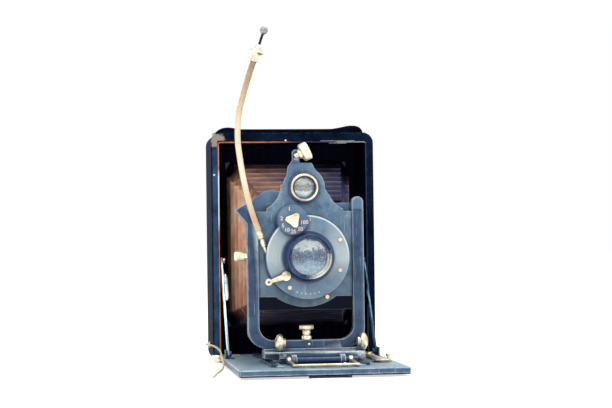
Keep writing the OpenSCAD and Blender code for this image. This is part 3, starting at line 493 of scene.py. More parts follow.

# %% [markdown]
# ## Leather
# The box is covered in fine-grained goatskin, dyed blue-black. Its grain is a net of small pebbles,
# 0.9 mm across here (a little coarser than life so that it shows). Corners rub to tan, and a blue sheen
# is painted into the dye's colour. The bellows is thinner skin, brown, with a painted highlight on each
# ridge and painted shade in each fold; painted light and shade, with random patches, also set how brown each
# side is.

# %% Covering leather and bellows skin


def covering_leather(name, deep, pale, wear_and_outline, pebble_mm=0.9, edge_amount=0.8, patch=False):
    """Pebbled leather: cells for grain, cloudy dye with a painted sheen, and rubbed edges."""
    f = Finish(name, Roughness=0.62, Specular_IOR_Level=0.02)
    cloud, crease = f.noise(70.0, 5.0, 0.6), f.noise(420.0, 3.0)
    pebble = f.add("TexVoronoi", {"Vector": f.place(), "Scale": 1.0 / (pebble_mm * MM), "Randomness": 0.9})
    # Clouds of the paler tone: on the blue-black skins they are a painted blue sheen
    f.tone = f.mix(f.band(cloud, 0.35, 0.7), deep, pale)
    if patch:
        # Painted sheen: on the front's left border, beside the mouth, the dye is lightened to a brighter blue
        painted_sheen = f.times(f.band(cloud, 0.3, 0.55, 0.35, 1.0), f.zone("X", -49.5, -50.3),
                           f.zone("X", -54.5, -53.5, 0.8), f.zone("Y", -19.5, -20.5))
        f.coat(painted_sheen, "#3d6189")
    soft, edge = f.edges(0.9, f.band(crease, 0.45, 0.62))
    f.coat(f.times(edge, edge_amount), wear_and_outline)
    if patch:
        # The skin has rubbed through at the top left corner of the front, 9 mm wide
        away = f.vector("DISTANCE", f.place(), (-0.0505, -0.021, 0.1485), out="Value")
        ragged = f.calc("MULTIPLY_ADD", crease, 0.006, away)
        f.coat(f.band(ragged, 0.0085, 0.0068, end=0.9), "#a5968c")
    f.bump(f.calc("MULTIPLY_ADD", crease, 0.8, pebble["Distance"]), strength=0.55, depth_mm=0.25, soft=soft)
    return f.done()


def bellows_finish():
    """Thin folded skin. Two marks on the mesh steer it: ridge (0 in the fold, 1 on the ridge) and a mark of
    painted light and shade, which with random patches takes the colour from blue-black to orange-brown."""
    f = Finish("thin_brown_bellows_skin", Roughness=0.62, Specular_IOR_Level=0.12)
    ridge, painted_light = [f.add("Attribute", attribute_name=mark)["Fac"] for mark in ("ridge", "painted_light")]
    streak = f.noise(1.0, 4.0, at=f.stretched((45.0, 260.0, 60.0)))
    # Painted light and shade from the mark, with random patches, sets the colour
    fade_and_painted_light = f.band(f.calc("MULTIPLY_ADD", f.noise(55.0, 6.0, 0.65), 0.9, painted_light), 0.42, 1.5)
    f.tone = f.ramp(fade_and_painted_light, [(0.0, "#070a1c"), (0.3, "#141b3c"), (0.46, "#47363c"), (0.64, "#7f5645"),
                        (0.82, "#a6775c"), (1.0, "#c7a188")])
    # Painted highlight on the ridges, strongest where the painted light is
    f.coat(f.times(f.band(ridge, 0.75, 1.0, end=0.8), streak, fade_and_painted_light), "#e0b994")
    # Painted shade in the folds
    f.coat(f.band(ridge, 0.5, 0.05, end=0.85), "#150f1c")
    # The old blue dye shows again in faint long streaks
    f.coat(f.band(streak, 0.54, 0.72, end=0.45), "#2a3354")
    f.bump(streak, strength=0.45, depth_mm=0.3)
    return f.done()


box_leather = covering_leather("blue_black_goatskin", "#050a1c", "#10213f", "#5f7690", edge_amount=0.35, patch=True)
strap_leather = covering_leather("black_strap_hide", "#04060f", "#0a1126", "#39455a", pebble_mm=0.7,
                                 edge_amount=0.25)
bed_skin = covering_leather("blue_black_bed_skin", "#060c1b", "#12223c", "#5d6d80", edge_amount=0.5)
lace_leather = covering_leather("tan_cut_lace", "#c9b98b", "#e4d8b0", "#f0e6c6", pebble_mm=0.5, edge_amount=0.3)
bellows_skin = bellows_finish()
print("leathers:", 5)

# %% [markdown]
# ## Cloth, glass, wood and copper
# The cable's cloth is woven from two sets of threads that wind opposite ways, so its pattern follows
# the cord: distance along it and angle round it, both kept on the mesh. Glass is clear with the index
# of crown glass; behind it a second surface carries a painted reflection, the blue mirror image that
# old lenses show.

# %% Cloth, glass, wood, copper, paint and thread


def woven_cloth():
    """Two thread sets: height is the larger of sin(n angle + k along) and sin(n angle - k along)."""
    f = Finish("cream_woven_cotton", Roughness=0.7, Sheen_Weight=0.3)
    lay = f.split(f.add("Attribute", attribute_name="lay")["Vector"])
    turns = f.times(f.calc("ARCTAN2", lay["Z"], lay["Y"]), 8.0)
    # One crossing every 1.1 mm of cord: 2 pi / 1.1 = 5.7
    there, back = [f.calc("SINE", f.calc("MULTIPLY_ADD", lay["X"], k, turns)) for k in (5.7, -5.7)]
    weave = f.calc("MAXIMUM", there, back)
    along = f.calc("MULTIPLY_ADD", f.noise(140.0, 4.0), 14.0, lay["X"])
    f.tone = f.ramp(f.band(along, 5.0, 118.0), [
        (0.0, "#f0dcc0"), (0.08, "#e2b68c"), (0.2, "#f3dcb8"), (0.32, "#fbefd6"), (0.6, "#f4e4c0"),
        (0.8, "#c9ad84"), (1.0, "#94796a")])
    # Painted shade between the threads, where the weave is low
    f.coat(f.band(weave, 0.2, -0.6, end=0.4), "#8d7349")
    f.bump(weave, strength=0.5, depth_mm=0.2)
    return f.done()


def clear_glass():
    """Polished crown glass, index 1.52, with a breath of dust that roughens it in patches."""
    f = Finish("polished_crown_glass", IOR=1.52, Transmission_Weight=1.0, Base_Color=colour("#f2f7fb"))
    f.feed("Roughness", f.band(f.noise(260.0, 5.0), 0.5, 0.8, 0.01, 0.12))
    return f.done()


def inner_lens(name, middle_z_mm, radius_mm, stops):
    """The glass deeper in the lens carries a painted reflection of the room: bright window above, skyline
    across, floor below. The height across the glass, ruffled by noise, picks the colour from the stops."""
    f = Finish(name, Metallic=0.25, Roughness=0.1, Coat_Weight=0.6)
    swirl, spots = f.noise(2600.0 / radius_mm, 4.0, 0.6, 0.8), f.noise(5200.0 / radius_mm, 5.0, 0.7, 1.5)
    height = f.zone("Z", middle_z_mm - radius_mm, middle_z_mm + radius_mm)
    # Painted reflection: the colour follows the height across the glass
    f.tone = f.ramp(f.calc("SUBTRACT", f.calc("MULTIPLY_ADD", swirl, 0.6, height), 0.3), stops)
    # Painted reflection: pale and deep blue spots
    f.coat(f.band(spots, 0.53, 0.6, end=0.55), "#cfccbd")
    f.coat(f.band(spots, 0.47, 0.4, end=0.5), "#27497a")
    return f.done()


def ground_glass_finish():
    """Glass ground with fine grit on one face: light passes but no image does."""
    f = Finish("ground_screen_glass", Transmission_Weight=0.55, IOR=1.5, Base_Color=colour("#c9d5d6"))
    grit = f.noise(2500.0)
    f.feed("Roughness", f.band(grit, start=0.45, end=0.65))
    f.bump(grit, strength=0.3, depth_mm=0.05)
    return f.done()


def stained_wood():
    """Close-grained hardwood under black stain: rings 3 mm apart run up the wall."""
    f = Finish("black_stained_mahogany", Roughness=0.6, Specular_IOR_Level=0.04)
    rings = f.add("TexWave", {"Vector": f.stretched((1.0, 1.0, 0.12)), "Scale": 52.0, "Distortion": 5.0,
                              "Detail": 3.0, "Detail Scale": 2.0}, bands_direction="X")["Fac"]
    f.tone = f.mix(rings, "#04041a", "#0c0c2a")
    f.bump(rings, strength=0.2, depth_mm=0.2)
    return f.done()


def copper_strip():
    """Lacquered copper edging, with a painted highlight on the left upright, 88 to 127 mm up, and painted
    shade over its right part.
    """
    f = Finish("lacquered_copper_edging", Metallic=0.35, Roughness=0.38)
    f.tone = f.mix(f.band(f.noise(180.0, 4.0), 0.35, 0.7), "#b0572a", "#d98a55")
    # Painted highlight on the left upright, 88 to 127 mm up
    painted_glint = f.times(f.zone("Z", 87, 93), f.zone("Z", 130, 124), f.zone("X", -49, -49.5))
    f.coat(painted_glint, "#fff4ea")
    # Painted shade: the strip darkens to navy towards the right, fully from x 4 mm
    f.coat(f.zone("X", -18, 4), "#14203a")
    end = f.times(f.zone("X", 28, 31, 0.8), f.zone("Z", 146.5, 147))
    f.coat(end, "#8f9a92")
    return f.done()


cream_cloth = woven_cloth()
crown_glass = clear_glass()
lens_depth = inner_lens("painted_reflection_front_element", 71.0, 11.0, [
    (0.0, "#7fa3b4"), (0.22, "#9db9c2"), (0.36, "#557f9d"), (0.47, "#1d4270"), (0.6, "#3c6690"),
    (0.7, "#6d8fab"), (0.74, "#fbfaf0"), (0.9, "#fbfaf0"), (0.97, "#587a99")])
finder_depth = inner_lens("finder_front_element", 114.0, 6.2, [
    (0.0, "#7fc3d0"), (0.2, "#a9cdd2"), (0.3, "#f1ebcf"), (0.38, "#8f9499"), (0.5, "#b5b4b0"),
    (0.62, "#8f9aa3"), (0.68, "#f4f1dc"), (0.9, "#f6f4e4"), (1.0, "#5b7a97")])
screen_glass = ground_glass_finish()
wall_wood = stained_wood()
copper = copper_strip()
dial_paint = Finish("rose_filled_figures", Base_Color=colour("#f0d8c8"), Roughness=0.5).material
scale_paint = Finish("pale_scale_paint", Base_Color=colour("#c5d0d2"), Roughness=0.5).material
thread = Finish("waxed_linen_thread", Base_Color=colour("#2b2f3a"), Roughness=0.6).material
print("other finishes:", 10)

# %% [markdown]
# ## Finish the measured solids
# Each solid takes the finish that the real piece had in the shop. The solids keep their own shape.

# %% Give each solid its finish
FINISHES = {
    box_leather: ["leather_cover"],
    wall_wood: ["body_shell"],
    black_enamel: ["back_rails", "leg_hinge", "lens_barrel", "rear_cell", "focus_back", "hood_lid"],
    dull_nickel: ["strap_anchors", "bed_catch"],
    aged_nickel: ["body_knuckles", "hinge_pins", "lace_eyelet", "bed_knuckles", "lever_post", "focus_lever",
                  "bail_wire", "cover_screws", "finder_head", "cocking_lever", "iris_pointer", "cross_lock",
                  "rise_lock", "finder_ring", "cable_socket", "cable_collar", "cable_plunger"],
    strap_leather: ["handle_strap"],
    bellows_skin: ["bellows_rear", "bellows_front"],
    cream_cloth: ["cable_sheath"],
    lace_leather: ["lace"],
    bed_enamel: ["bed_plate", "base_sled"],
    bed_skin: ["bed_leather"],
    pale_steel: ["strut_left", "focus_track"],
    # The struts are twins: the right one takes the darker blued steel as painted shade
    blued_steel_and_shade: ["strut_right", "bed_guides", "strut_feet"],
    turned_brass: ["bed_bush"],
    brown_enamel: ["stand_leg"],
    dark_enamel: ["clamp_tube", "clamp_left", "clamp_right"],
    frame_enamel: ["u_frame"],
    slate_enamel: ["lens_panel"],
    case_enamel: ["shutter_case"],
    dial_enamel: ["speed_dial"],
    board_enamel: ["rear_board"],
    shutter_enamel: ["shutter_cover"],
    crown_glass: ["front_glass", "rear_glass", "finder_glass"],
    black_steel: ["iris_blade_1", "iris_blade_2", "iris_blade_3", "shutter_blade_1", "shutter_blade_2"],
    screen_glass: ["ground_glass"],
}
SOFT_EDGE_MM = {
    0.9: ["u_frame"],
    0.45: ["bed_plate"],
    0.35: ["shutter_case"],
    0.3: ["base_sled", "rear_board", "shutter_cover", "cocking_lever", "focus_lever", "body_knuckles"],
    0.25: ["lens_panel", "speed_dial", "strut_left", "strut_right"],
}
ROUND_FROM = np.radians(35)


def soften(solid, width_mm):
    """Joins the solid's loose triangles and rounds its sharp edges, as a file and a polishing wheel do."""
    solid.data.polygons.foreach_set("use_smooth", np.ones(len(solid.data.polygons), bool))
    weld = solid.modifiers.new("join", "WELD")
    weld.merge_threshold = WELD_M
    bevel = solid.modifiers.new("round", "BEVEL")
    bevel.width, bevel.segments, bevel.limit_method = width_mm * MM, 2, "ANGLE"
    bevel.angle_limit = ROUND_FROM
    bevel.harden_normals = True


for finish, names in FINISHES.items():
    for name in names:
        mesh = nodes[name].data
        mesh.materials.clear()
        mesh.materials.append(finish)
for width, names in SOFT_EDGE_MM.items():
    for name in names:
        soften(nodes[name], width)
print("solids finished:", sum(len(names) for names in FINISHES.values()))

# %% [markdown]
# ## Make the cords
# The cable is a tube on its smooth line; its collar and plunger follow once they are turned. The lace
# is a thin tube, round where it was cut and rolled.

# %% Release cable and lace
release_grid, release_lay = tube(release_line, RELEASE_WIDE / 2, sides=24, up=(0, 1, 0))
release_cable = grid_piece("release_cable", release_grid, cream_cloth, "lens_panel", "cream_cloth",
                           marks={"lay": release_lay}, stands_for=["cable_sheath"])
lace_grid, _ = tube(lace_line, LACE_WIDE / 2, sides=12, up=(0, 0, 1))
lace = grid_piece("leather_lace", lace_grid, lace_leather, "camera_body", "tan_lace_leather",
                  stands_for=["lace"])
print("cords made:", 2)

# %% [markdown]
# ## The bellows
# A bellows is one skin folded in and out between two rectangles. Along its flats the folds zigzag;
# at its cut corners they turn over, so a ridge of the flat meets a hollow of the corner. It crosses
# four joints, so it is made in four lengths that meet exactly.

# %% Fold the bellows
FOLDS = 18
BACK_Y, BOARD_Y = 16.0, -101.1
FOLD_DEEP, SKIN_THICK = 3.5, 0.9
# Half width, half height and corner cut at the box, each with how much smaller it is at the board
HALF_WIDE, HALF_TALL, CORNER_CUT = (44, 15.5), (57.5, 23), (9, 2)
MIDDLE_AT_BOX, MIDDLE_AT_BOARD, BLEND_Z = (0.4, 79), (-4, 72), 75
# Corners in turn: side in x, side in z, and whether the cut shortens the width or the height
CORNERS = np.array([(-1, -1, 1), (1, -1, 1), (1, -1, 0), (1, 1, 0), (1, 1, 1), (-1, 1, 1), (-1, 1, 0),
                    (-1, -1, 0)])
CUT_ACROSS, SLACK = 0.6, 0.22
POINTS_ON_FLAT, POINTS_ON_CORNER = 14, 7
# Painted light and shade on the skin at each half corner round the rectangle from the bottom left: dark below
# and on the right, brightest on the left
PAINTED_LIGHT_BY_SIDE = [0.4, 0.14, 0.08, 0.09, 0.1, 0.16, 0.3, 0.22, 0.2, 0.42, 0.6, 0.85, 1.0, 0.96, 0.82, 0.55, 0.4]


def bellows_rim(t, inset):
    """Corner points of the chamfered rectangle at depth t (0 at the box, 1 at the board)."""
    t, level = t[:, None], CORNERS[:, 2]
    wide, tall, cut = [at_box - less * t for at_box, less in (HALF_WIDE, HALF_TALL, CORNER_CUT)]
    x = CORNERS[:, 0] * (wide - inset - cut * CUT_ACROSS * level)
    z = CORNERS[:, 1] * (tall - inset - cut * (1 - level))
    middle = (1 - t) * MIDDLE_AT_BOX + t * MIDDLE_AT_BOARD
    return np.stack((x, z), -1) + middle[:, None]


def bellows_wall(folds, thick):
    """Points at each fold number: flats go in by FOLD_DEEP times the zigzag, corners by its reverse, and the
    skin sags by SLACK sin(1.7 fold + 5.1 place) sin(11.3 place + 1) where that is above 0."""
    t = folds / FOLDS
    folds = folds[:, None]
    zigzag = np.abs(np.mod(folds, 2) - 1)
    spread = np.concatenate([np.linspace(side, side + 1, count, endpoint=False)
                             for side, count in enumerate((POINTS_ON_FLAT, POINTS_ON_CORNER) * 4)])
    side, part = spread.astype(int), spread % 1
    flat, inner = [rim[:, side] + (rim[:, (side + 1) % 8] - rim[:, side]) * part[None, :, None]
                   for rim in (bellows_rim(t, 0), bellows_rim(t, 1))]
    inward = inner - flat
    corner = np.where(side % 2 == 1, np.sin(np.pi * part), 0) * np.clip((folds - 0.5) / 3, 0, 1)
    ridge = zigzag * (1 - corner) + corner * (0.6 - 0.45 * zigzag)
    sag = SLACK * np.sin(folds * 1.7 + spread * 5.1) * np.sin(spread * 11.3 + 1)
    depth = FOLD_DEEP * (1 - ridge) + thick + np.clip(sag, 0, None)
    points = flat + inward * depth[..., None]
    y = np.broadcast_to((BACK_Y + (BOARD_Y - BACK_Y) * t)[:, None], ridge.shape)
    # Painted light and shade from the list, with painted shade on the first folds by the box
    light_share = np.interp(spread, np.arange(len(PAINTED_LIGHT_BY_SIDE)) / 2, PAINTED_LIGHT_BY_SIDE) * np.clip((folds - 1.2) / 1.4, 0.03, 1)
    return np.stack((points[..., 0], y, points[..., 1]), -1), ridge, light_share


def bellows_length(name, first, last, stands_for):
    """One closed length of the skin, outside and inside, from fold number first to last."""
    count = int(round((last - first) * 10)) + 1
    folds = np.linspace(first, last, count)
    outer, ridge, light_share = bellows_wall(folds, 0.0)
    inner, _, _ = bellows_wall(folds, SKIN_THICK)
    # Inside, the skin's painted light is a tenth as strong: painted shade
    marks = {"ridge": np.concatenate((ridge, ridge[::-1])),
             "painted_light": np.concatenate((light_share, light_share[::-1] * 0.1))}
    made = grid_piece(name, np.concatenate((outer, inner[::-1])), bellows_skin, None, "brown_bellows_leather",
                      loop=True, marks=marks, stands_for=stands_for)
    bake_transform(made)


bellows_length("bellows_at_box", 0, 5.2, ["bellows_rear"])
bellows_length("bellows_over_lever", 5.2, 6.6, [])
bellows_length("bellows_middle", 6.6, 14.3, [])
bellows_length("bellows_at_board", 14.3, FOLDS, ["bellows_front"])
print("bellows lengths:", 4)

# %% [markdown]
# ## Edging round the box's mouth
# The leather is turned over the front edge and stops short of the opening. A thin metal strip covers
# its raw edge. It is a half round bar, carried up the left side, over the top and down the right.

# %% Edge strip
MOUTH = np.array([(-50.0, 6), (-50.0, 145.9), (-49.55, 146.9), (-48.6, 147.25), (48.6, 147.25),
                  (49.55, 146.9), (50.0, 145.9), (50.0, 6)])
AWAY = np.array([(-1, 0), (-1, 0), (-0.7, 0.7), (0, 1), (0, 1), (0.7, 0.7), (1, 0), (1, 0)])
STRIP_Y, STRIP_HALF_WIDE, STRIP_PROUD = -20.62, 0.5, 0.32


def edge_strip(line):
    """Point (i, k) = line[i] + half width cos k away[i] + height sin k forward."""
    angle = round_angles(12)[None, :, None]
    away = np.insert(AWAY, 1, 0, axis=1)[:, None]
    return line[:, None] + STRIP_HALF_WIDE * np.cos(angle) * away + STRIP_PROUD * np.sin(angle) * FORWARD


edge_line = np.stack((MOUTH[:, 0], np.full(len(MOUTH), STRIP_Y), MOUTH[:, 1]), -1)
grid_piece("mouth_edge_strip", edge_strip(edge_line), copper, "camera_body", "aged_nickel")
print("edge strip", round(route_length(edge_line), 0), "mm")

# %% [markdown]
# ## The carrying strap
# Layers of hide stitched together: flat along the top, and thicker at each end where they fold over
# the fitting. At each x the section is a bar with round top corners, and a groove parts the layers.

# %% Strap and its stitches
STRAP_TOP = [(-50.3, 0.1), (-50.2, 0.9), (-49.4, 2.3), (-47.8, 3.45), (-45.4, 4.35), (-42.2, 4.75),
             (-39, 4.45), (-35.5, 3.85), (-32, 3.55), (-12, 3.5), (7, 3.5), (27, 3.55), (31, 3.85),
             (35.5, 4.65), (39.5, 5.45), (42.6, 5.75), (45.5, 5.55), (47.8, 4.75), (49.4, 3.35), (50.2, 1.6),
             (50.3, 0.1)]
# Half of the strap's section: (y, share of the height, drop from the top), with the groove at half height
STRAP_HALF = [(7.6, 0, 0), (7.95, 0.05, 0), (7.95, 0.4, 0), (7.6, 0.47, 0), (7.95, 0.54, 0), (7.95, 1, 0.9),
              (7.7, 1, 0.3), (7.1, 1, 0.03), (6.0, 1, 0), (5.4, 1, 0.16), (4.8, 1, 0), (1.5, 1, 0)]
BOX_TOP, STRAP_INSET = 153.5, 0.03
STITCH_Y, STITCH_SINK, STITCHED_TO, STITCH_HALF = 5.4, 0.1, 46.5, (0.9, 0.22, 0.22)


def strap_line(steps):
    """Outline of the strap seen from the front, a hair inside the solid's."""
    return smooth_route(np.array([(x, 0.0, BOX_TOP + z - STRAP_INSET) for x, z in STRAP_TOP]), steps)


def upward(line):
    """Direction square to the line in the front view."""
    ahead = np.gradient(line, axis=0)
    return unit(np.stack((-ahead[:, 2], np.zeros(len(line)), ahead[:, 0]), -1))


def strap_sections(line):
    """Point (i, k): z = box top + height[i] share[k] - drop[k], on both halves of the section."""
    half = np.array(STRAP_HALF)
    y, share, drop = np.concatenate((half, half[::-1] * (-1, 1, 1))).T
    tall = np.clip(line[:, 2] - BOX_TOP, 0.05, None)[:, None]
    z = BOX_TOP + np.clip(tall * share - drop, 0, None)
    return np.stack(np.broadcast_arrays(line[:, :1], y, z), -1)


def beads(name, body, places, ahead, up, half, material=aged_nickel, slot="aged_nickel"):
    """Many small stretched beads in one mesh: each is the same 6 x 6 ball turned to its place."""
    places, ahead, up = np.broadcast_arrays(places, ahead, up)
    theta, phi = np.meshgrid(round_angles(6), np.linspace(0, np.pi, 6))
    ball = np.stack((np.cos(phi), np.sin(phi) * np.cos(theta), np.sin(phi) * np.sin(theta)), -1)
    side = np.cross(ahead, up)
    axes = np.stack((ahead, side, up), 1) * np.asarray(half)[None, :, None]
    points = places[:, None, None] + np.einsum("rcj,njk->nrck", ball, axes)
    number = np.arange(points[..., 0].size).reshape(points.shape[:3])
    across = np.concatenate((number, number[:, :, :1]), 2)
    quads = np.stack((across[:, :-1, :-1], across[:, 1:, :-1], across[:, 1:, 1:], across[:, :-1, 1:]), -1)
    mesh = bpy.data.meshes.new(name)
    mesh.from_pydata((points.reshape(-1, 3) * MM).tolist(), [], quads.reshape(-1, 4).tolist())
    return piece(name, close_up(mesh), material, body, slot)


grid_piece("carrying_strap", strap_sections(strap_line(6)), strap_leather, "camera_body", "black_leather",
           stands_for=["handle_strap"])
stitch_line = strap_line(3)
ahead, ups = unit(np.gradient(stitch_line, axis=0)), upward(stitch_line)
inside = np.abs(stitch_line[:, 0]) < STITCHED_TO
rows = [stitch_line[inside] + (0, side * STITCH_Y, 0) - STITCH_SINK * ups[inside] for side in (-1, 1)]
beads("strap_stitches", "camera_body", np.concatenate(rows), np.tile(ahead[inside], (2, 1)),
      np.tile(ups[inside], (2, 1)), STITCH_HALF, thread, "black_leather")
print("stitches:", 2 * int(inside.sum()))

# %% [markdown]
# ## Turned pieces
# Knobs, rings and lenses are made on a lathe, so here they are a profile of (radius, height) points
# carried round an axis. A knurled rim adds fine ridges: the radius ripples as the angle goes round.

# %% Turn a profile round an axis


def turn_profile(profile, place, axis, steps=64, ridges=0, ridge_deep=0.12):
    """Point (i, k) = place + height[i] axis + r (cos k side + sin k rise), where r is the profile's radius
    less ridge_deep |sin(ridges k / 2)| on the rows whose third number is 1."""
    profile = np.asarray(profile, float)
    axis = np.asarray(axis, float) / np.linalg.norm(axis)
    helper = (0, 0, 1) if abs(axis[2]) < 0.9 else (1, 0, 0)
    side = np.cross(axis, helper)
    side /= np.linalg.norm(side)
    rise = np.cross(axis, side)
    angle = round_angles(steps)
    dip = np.abs(np.sin(ridges * angle / 2)) * ridge_deep
    knurl = profile[:, 2] if profile.shape[1] > 2 else np.zeros(len(profile))
    radius = profile[:, :1] - knurl[:, None] * dip[None]
    around = np.cos(angle)[:, None] * side + np.sin(angle)[:, None] * rise
    return np.asarray(place, float) + profile[:, 1][:, None, None] * axis + radius[..., None] * around[None]


def turned_piece(name, body, profile, place, axis, material=aged_nickel, slot="aged_nickel", closed=False,
                 stands_for=(), **cut):
    """A lathe piece; closed means that the profile runs back to its start, as a ring's does."""
    return grid_piece(name, turn_profile(profile, place, axis, **cut), material, body, slot, loop=closed,
                      stands_for=stands_for)


# %% [markdown]
# ## Knobs
# The two locks are plated brass, and the rise lock is knurled. The clamp knobs are domed discs with a
# sharp rim, which is how a thumb and a finger find them. They cover the plain knobs of the solids by 0.1 mm.

# %% Locks, clamp knobs, dial disc and dial knob
turned_piece(
    "sideways_lock_knob", "cross_lock",
    [(0, -6.6), (1.2, -6.6), (1.2, 0.05), (2.6, 0.05), (2.95, 0.35), (2.95, 2.3), (2.6, 2.75), (1.9, 3.1),
     (1.9, 3.5), (2.35, 3.8), (2.35, 6.3), (2.2, 6.5), (4.1, 6.55), (4.45, 6.9), (4.45, 8.8), (4.1, 9.2),
     (1.2, 9.25), (0, 9.1)],
    (-4, -107, 19.6), (0, 0, 1), stands_for=["cross_lock"], steps=72)
turned_piece(
    "rise_lock_knob", "rise_lock",
    [(0, -4.5, 0), (1.15, -4.5, 0), (1.15, 0.05, 0), (2.15, 0.05, 0), (2.15, 1.8, 0), (2.55, 1.9, 0),
     (2.85, 2.2, 1), (2.85, 7.2, 1), (2.6, 7.7, 0), (1.8, 7.92, 0), (0, 7.94, 0)],
    (-40.45, -107, 71.9), (-1, 0, 0), stands_for=["rise_lock"], steps=144, ridges=48, ridge_deep=0.16)
CLAMP_KNOB = [(0, -0.9), (3.0, -0.9), (3.0, 0.7), (4.6, 0.85), (5.2, 1.2), (5.5, 2.0), (5.5, 2.9), (5.3, 3.4),
              (4.7, 4.2), (4.0, 4.6), (3.9, 4.5), (3.0, 5.15), (1.2, 5.5), (0, 5.55)]
for side, x, outward in (("left", -19.2, -1), ("right", 27.5, 1)):
    turned_piece(f"clamp_knob_{side}", f"clamp_{side}", CLAMP_KNOB, (x, -115, 18.5), (outward, 0, 0))
turned_piece(
    "speed_dial_disc", "speed_dial",
    [(0, 118.2), (1.2, 118.2), (1.2, 119.95), (9.0, 119.95), (9.4, 120.3), (9.4, 121.1), (9.2, 121.45),
     (8.8, 121.58), (0, 121.6)],
    DIAL, FORWARD, dial_enamel, "dark_blue_enamel", stands_for=["speed_dial"], steps=96)
# Each ring of the dial's knob: share of the outline, height over the cover
KNOB_RINGS = [(1.0, 2.2), (1.04, 2.6), (1.04, 4.3), (0.98, 4.75), (0.85, 4.95), (0.35, 5.0), (0.0, 5.0)]
COVER_Y = -119


def three_cornered_knob():
    """Rounded triangle: with a = 3 (angle - 52 degrees), radius = 3.9 + 0.85 cos a + 0.12 cos 2a."""
    angle = round_angles(72)
    a = 3 * (angle - np.radians(52))
    outline = 3.9 + 0.85 * np.cos(a) + 0.12 * np.cos(2 * a)
    share, height = np.array(KNOB_RINGS).T[..., None, None]
    return DIAL + (0, COVER_Y, 0) + share * outline[:, None] * circle(angle) + height * FORWARD


grid_piece("dial_knob", three_cornered_knob(), aged_nickel, "speed_dial", "aged_nickel")
print("knobs:", 5, "dial disc:", 1)

# %% [markdown]
# ## The cable's fittings
# A stepped ferrule leads the cable into the shutter. At its far end is a bell-shaped collar for two
# fingers, and a plunger with a ball for the thumb. All four lie on the cable's ends.

# %% Ferrule, collar and plunger
SOCKET_AT, SOCKET_UP = LENS_AXIS + (-28.4, RELEASE_Y, 12.9), (-0.3404, 0, 0.9403)
COLLAR_AT, COLLAR_UP = LENS_AXIS + (-30.1, RELEASE_Y, 125.3), (0.3289, 0, 0.9444)
turned_piece(
    "cable_ferrule", "lens_panel",
    [(0, -10.5), (0.95, -10.5), (1.1, -10.2), (1.15, -6.6), (1.55, -6.2), (1.6, -3.0), (1.3, -2.7),
     (1.3, -1.6), (1.85, -1.3), (2.15, -0.8), (2.15, 1.2), (1.9, 1.5), (1.9, 3.3), (1.7, 3.8), (0, 3.85)],
    SOCKET_AT, SOCKET_UP, stands_for=["cable_socket"], steps=40)
collar = turned_piece(
    "cable_collar_bell", "lens_panel",
    [(1.2, -4.9), (2.1, -4.9), (2.35, -4.6), (2.35, -3.3), (1.95, -3.0), (1.85, -1.4), (2.15, -0.4),
     (3.1, 0.6), (4.4, 1.15), (4.55, 1.6), (4.35, 2.1), (3.3, 2.75), (2.4, 3.4), (1.8, 4.4), (1.6, 5.9),
     (1.2, 5.95)],
    COLLAR_AT, COLLAR_UP, closed=True, stands_for=["cable_collar"], steps=48)
stem = turned_piece("plunger_stem", "cable_plunger", [(0, 4.8), (0.8, 4.8), (0.8, 13.6), (0, 13.6)],
                    COLLAR_AT, COLLAR_UP, black_steel, steps=24)
ball = turned_piece(
    "plunger_ball", "cable_plunger",
    [(0, 12.95), (1.1, 13.1), (1.8, 13.7), (2.35, 14.5), (2.55, 15.4), (2.4, 16.3), (1.95, 17.1),
     (1.2, 17.75), (0, 18.05)],
    COLLAR_AT, COLLAR_UP, dull_nickel, stands_for=["cable_plunger"], steps=40)
print("cable fittings:", 4)

# %% [markdown]
# ## Lens mount and finder mount
# The lens sits in a blued mount with a bright turned lip and a polished bevel that carries a painted
# reflection of the room.
# The finder's mount is dark outside and carries one narrow bright ring round its glass.

# %% Finder's knob, lens mount, finder mount and bright rings
FINDER_AXIS = (-4.5, 0, 114)
turned_piece(
    "finder_head_knob", "finder_head",
    [(0, -1.6, 0), (1.6, -1.6, 0), (1.8, -1.3, 0), (1.8, 0.9, 0), (2.9, 1.2, 0), (3.1, 1.7, 0), (3.1, 2.6, 0),
     (4.6, 3.0, 0), (5.4, 3.4, 0), (5.7, 3.9, 1), (5.7, 7.6, 1), (5.4, 8.1, 0), (4.6, 8.3, 0), (4.2, 7.7, 0),
     (0, 7.6, 0)],
    (-8.6, -107, 133.9), (0.899, 0, 0.438), stands_for=["finder_head"], steps=160, ridges=40, ridge_deep=0.2)
turned_piece(
    "lens_mount", "lens_panel",
    [(10.6, 114.8), (14.4, 114.8), (14.4, 120.4), (13.9, 121.0), (13.9, 124.6), (13.6, 125.0), (13.6, 127.6),
     (13.45, 129.2), (13.2, 129.6), (12.9, 129.7), (12.0, 128.2), (11.9, 127.6), (11.9, 123.0),
     (10.6, 123.0)],
    LENS_AXIS, FORWARD, mount_blue, "black_enamel", closed=True, stands_for=["lens_barrel"], steps=96)
turned_piece(
    "lens_lip", "lens_panel",
    [(13.35, 129.5), (13.6, 129.35), (13.66, 129.6), (13.58, 129.8), (13.4, 129.85), (13.3, 129.7)],
    LENS_AXIS, FORWARD, blued_steel_and_shade, "black_enamel", closed=True, steps=96)
turned_piece(
    "finder_mount", "lens_panel",
    [(6.35, 103.7), (6.85, 103.7), (6.85, 107.6), (9.85, 107.6), (9.85, 108.6), (9.5, 108.95), (8.8, 109.0),
     (8.6, 109.3), (8.6, 110.3), (7.3, 110.4), (7.1, 109.9), (6.45, 109.4), (6.35, 109.2)],
    FINDER_AXIS, FORWARD, dark_enamel, closed=True, stands_for=["finder_ring"], steps=72)
turned_piece(
    "finder_bezel", "lens_panel",
    [(7.25, 110.1), (8.55, 110.1), (8.6, 110.6), (8.3, 110.95), (7.8, 111.1), (7.4, 110.95), (7.2, 110.5)],
    FINDER_AXIS, FORWARD, closed=True, steps=72)
print("finder knob:", 1, "mounts and rings:", 4)

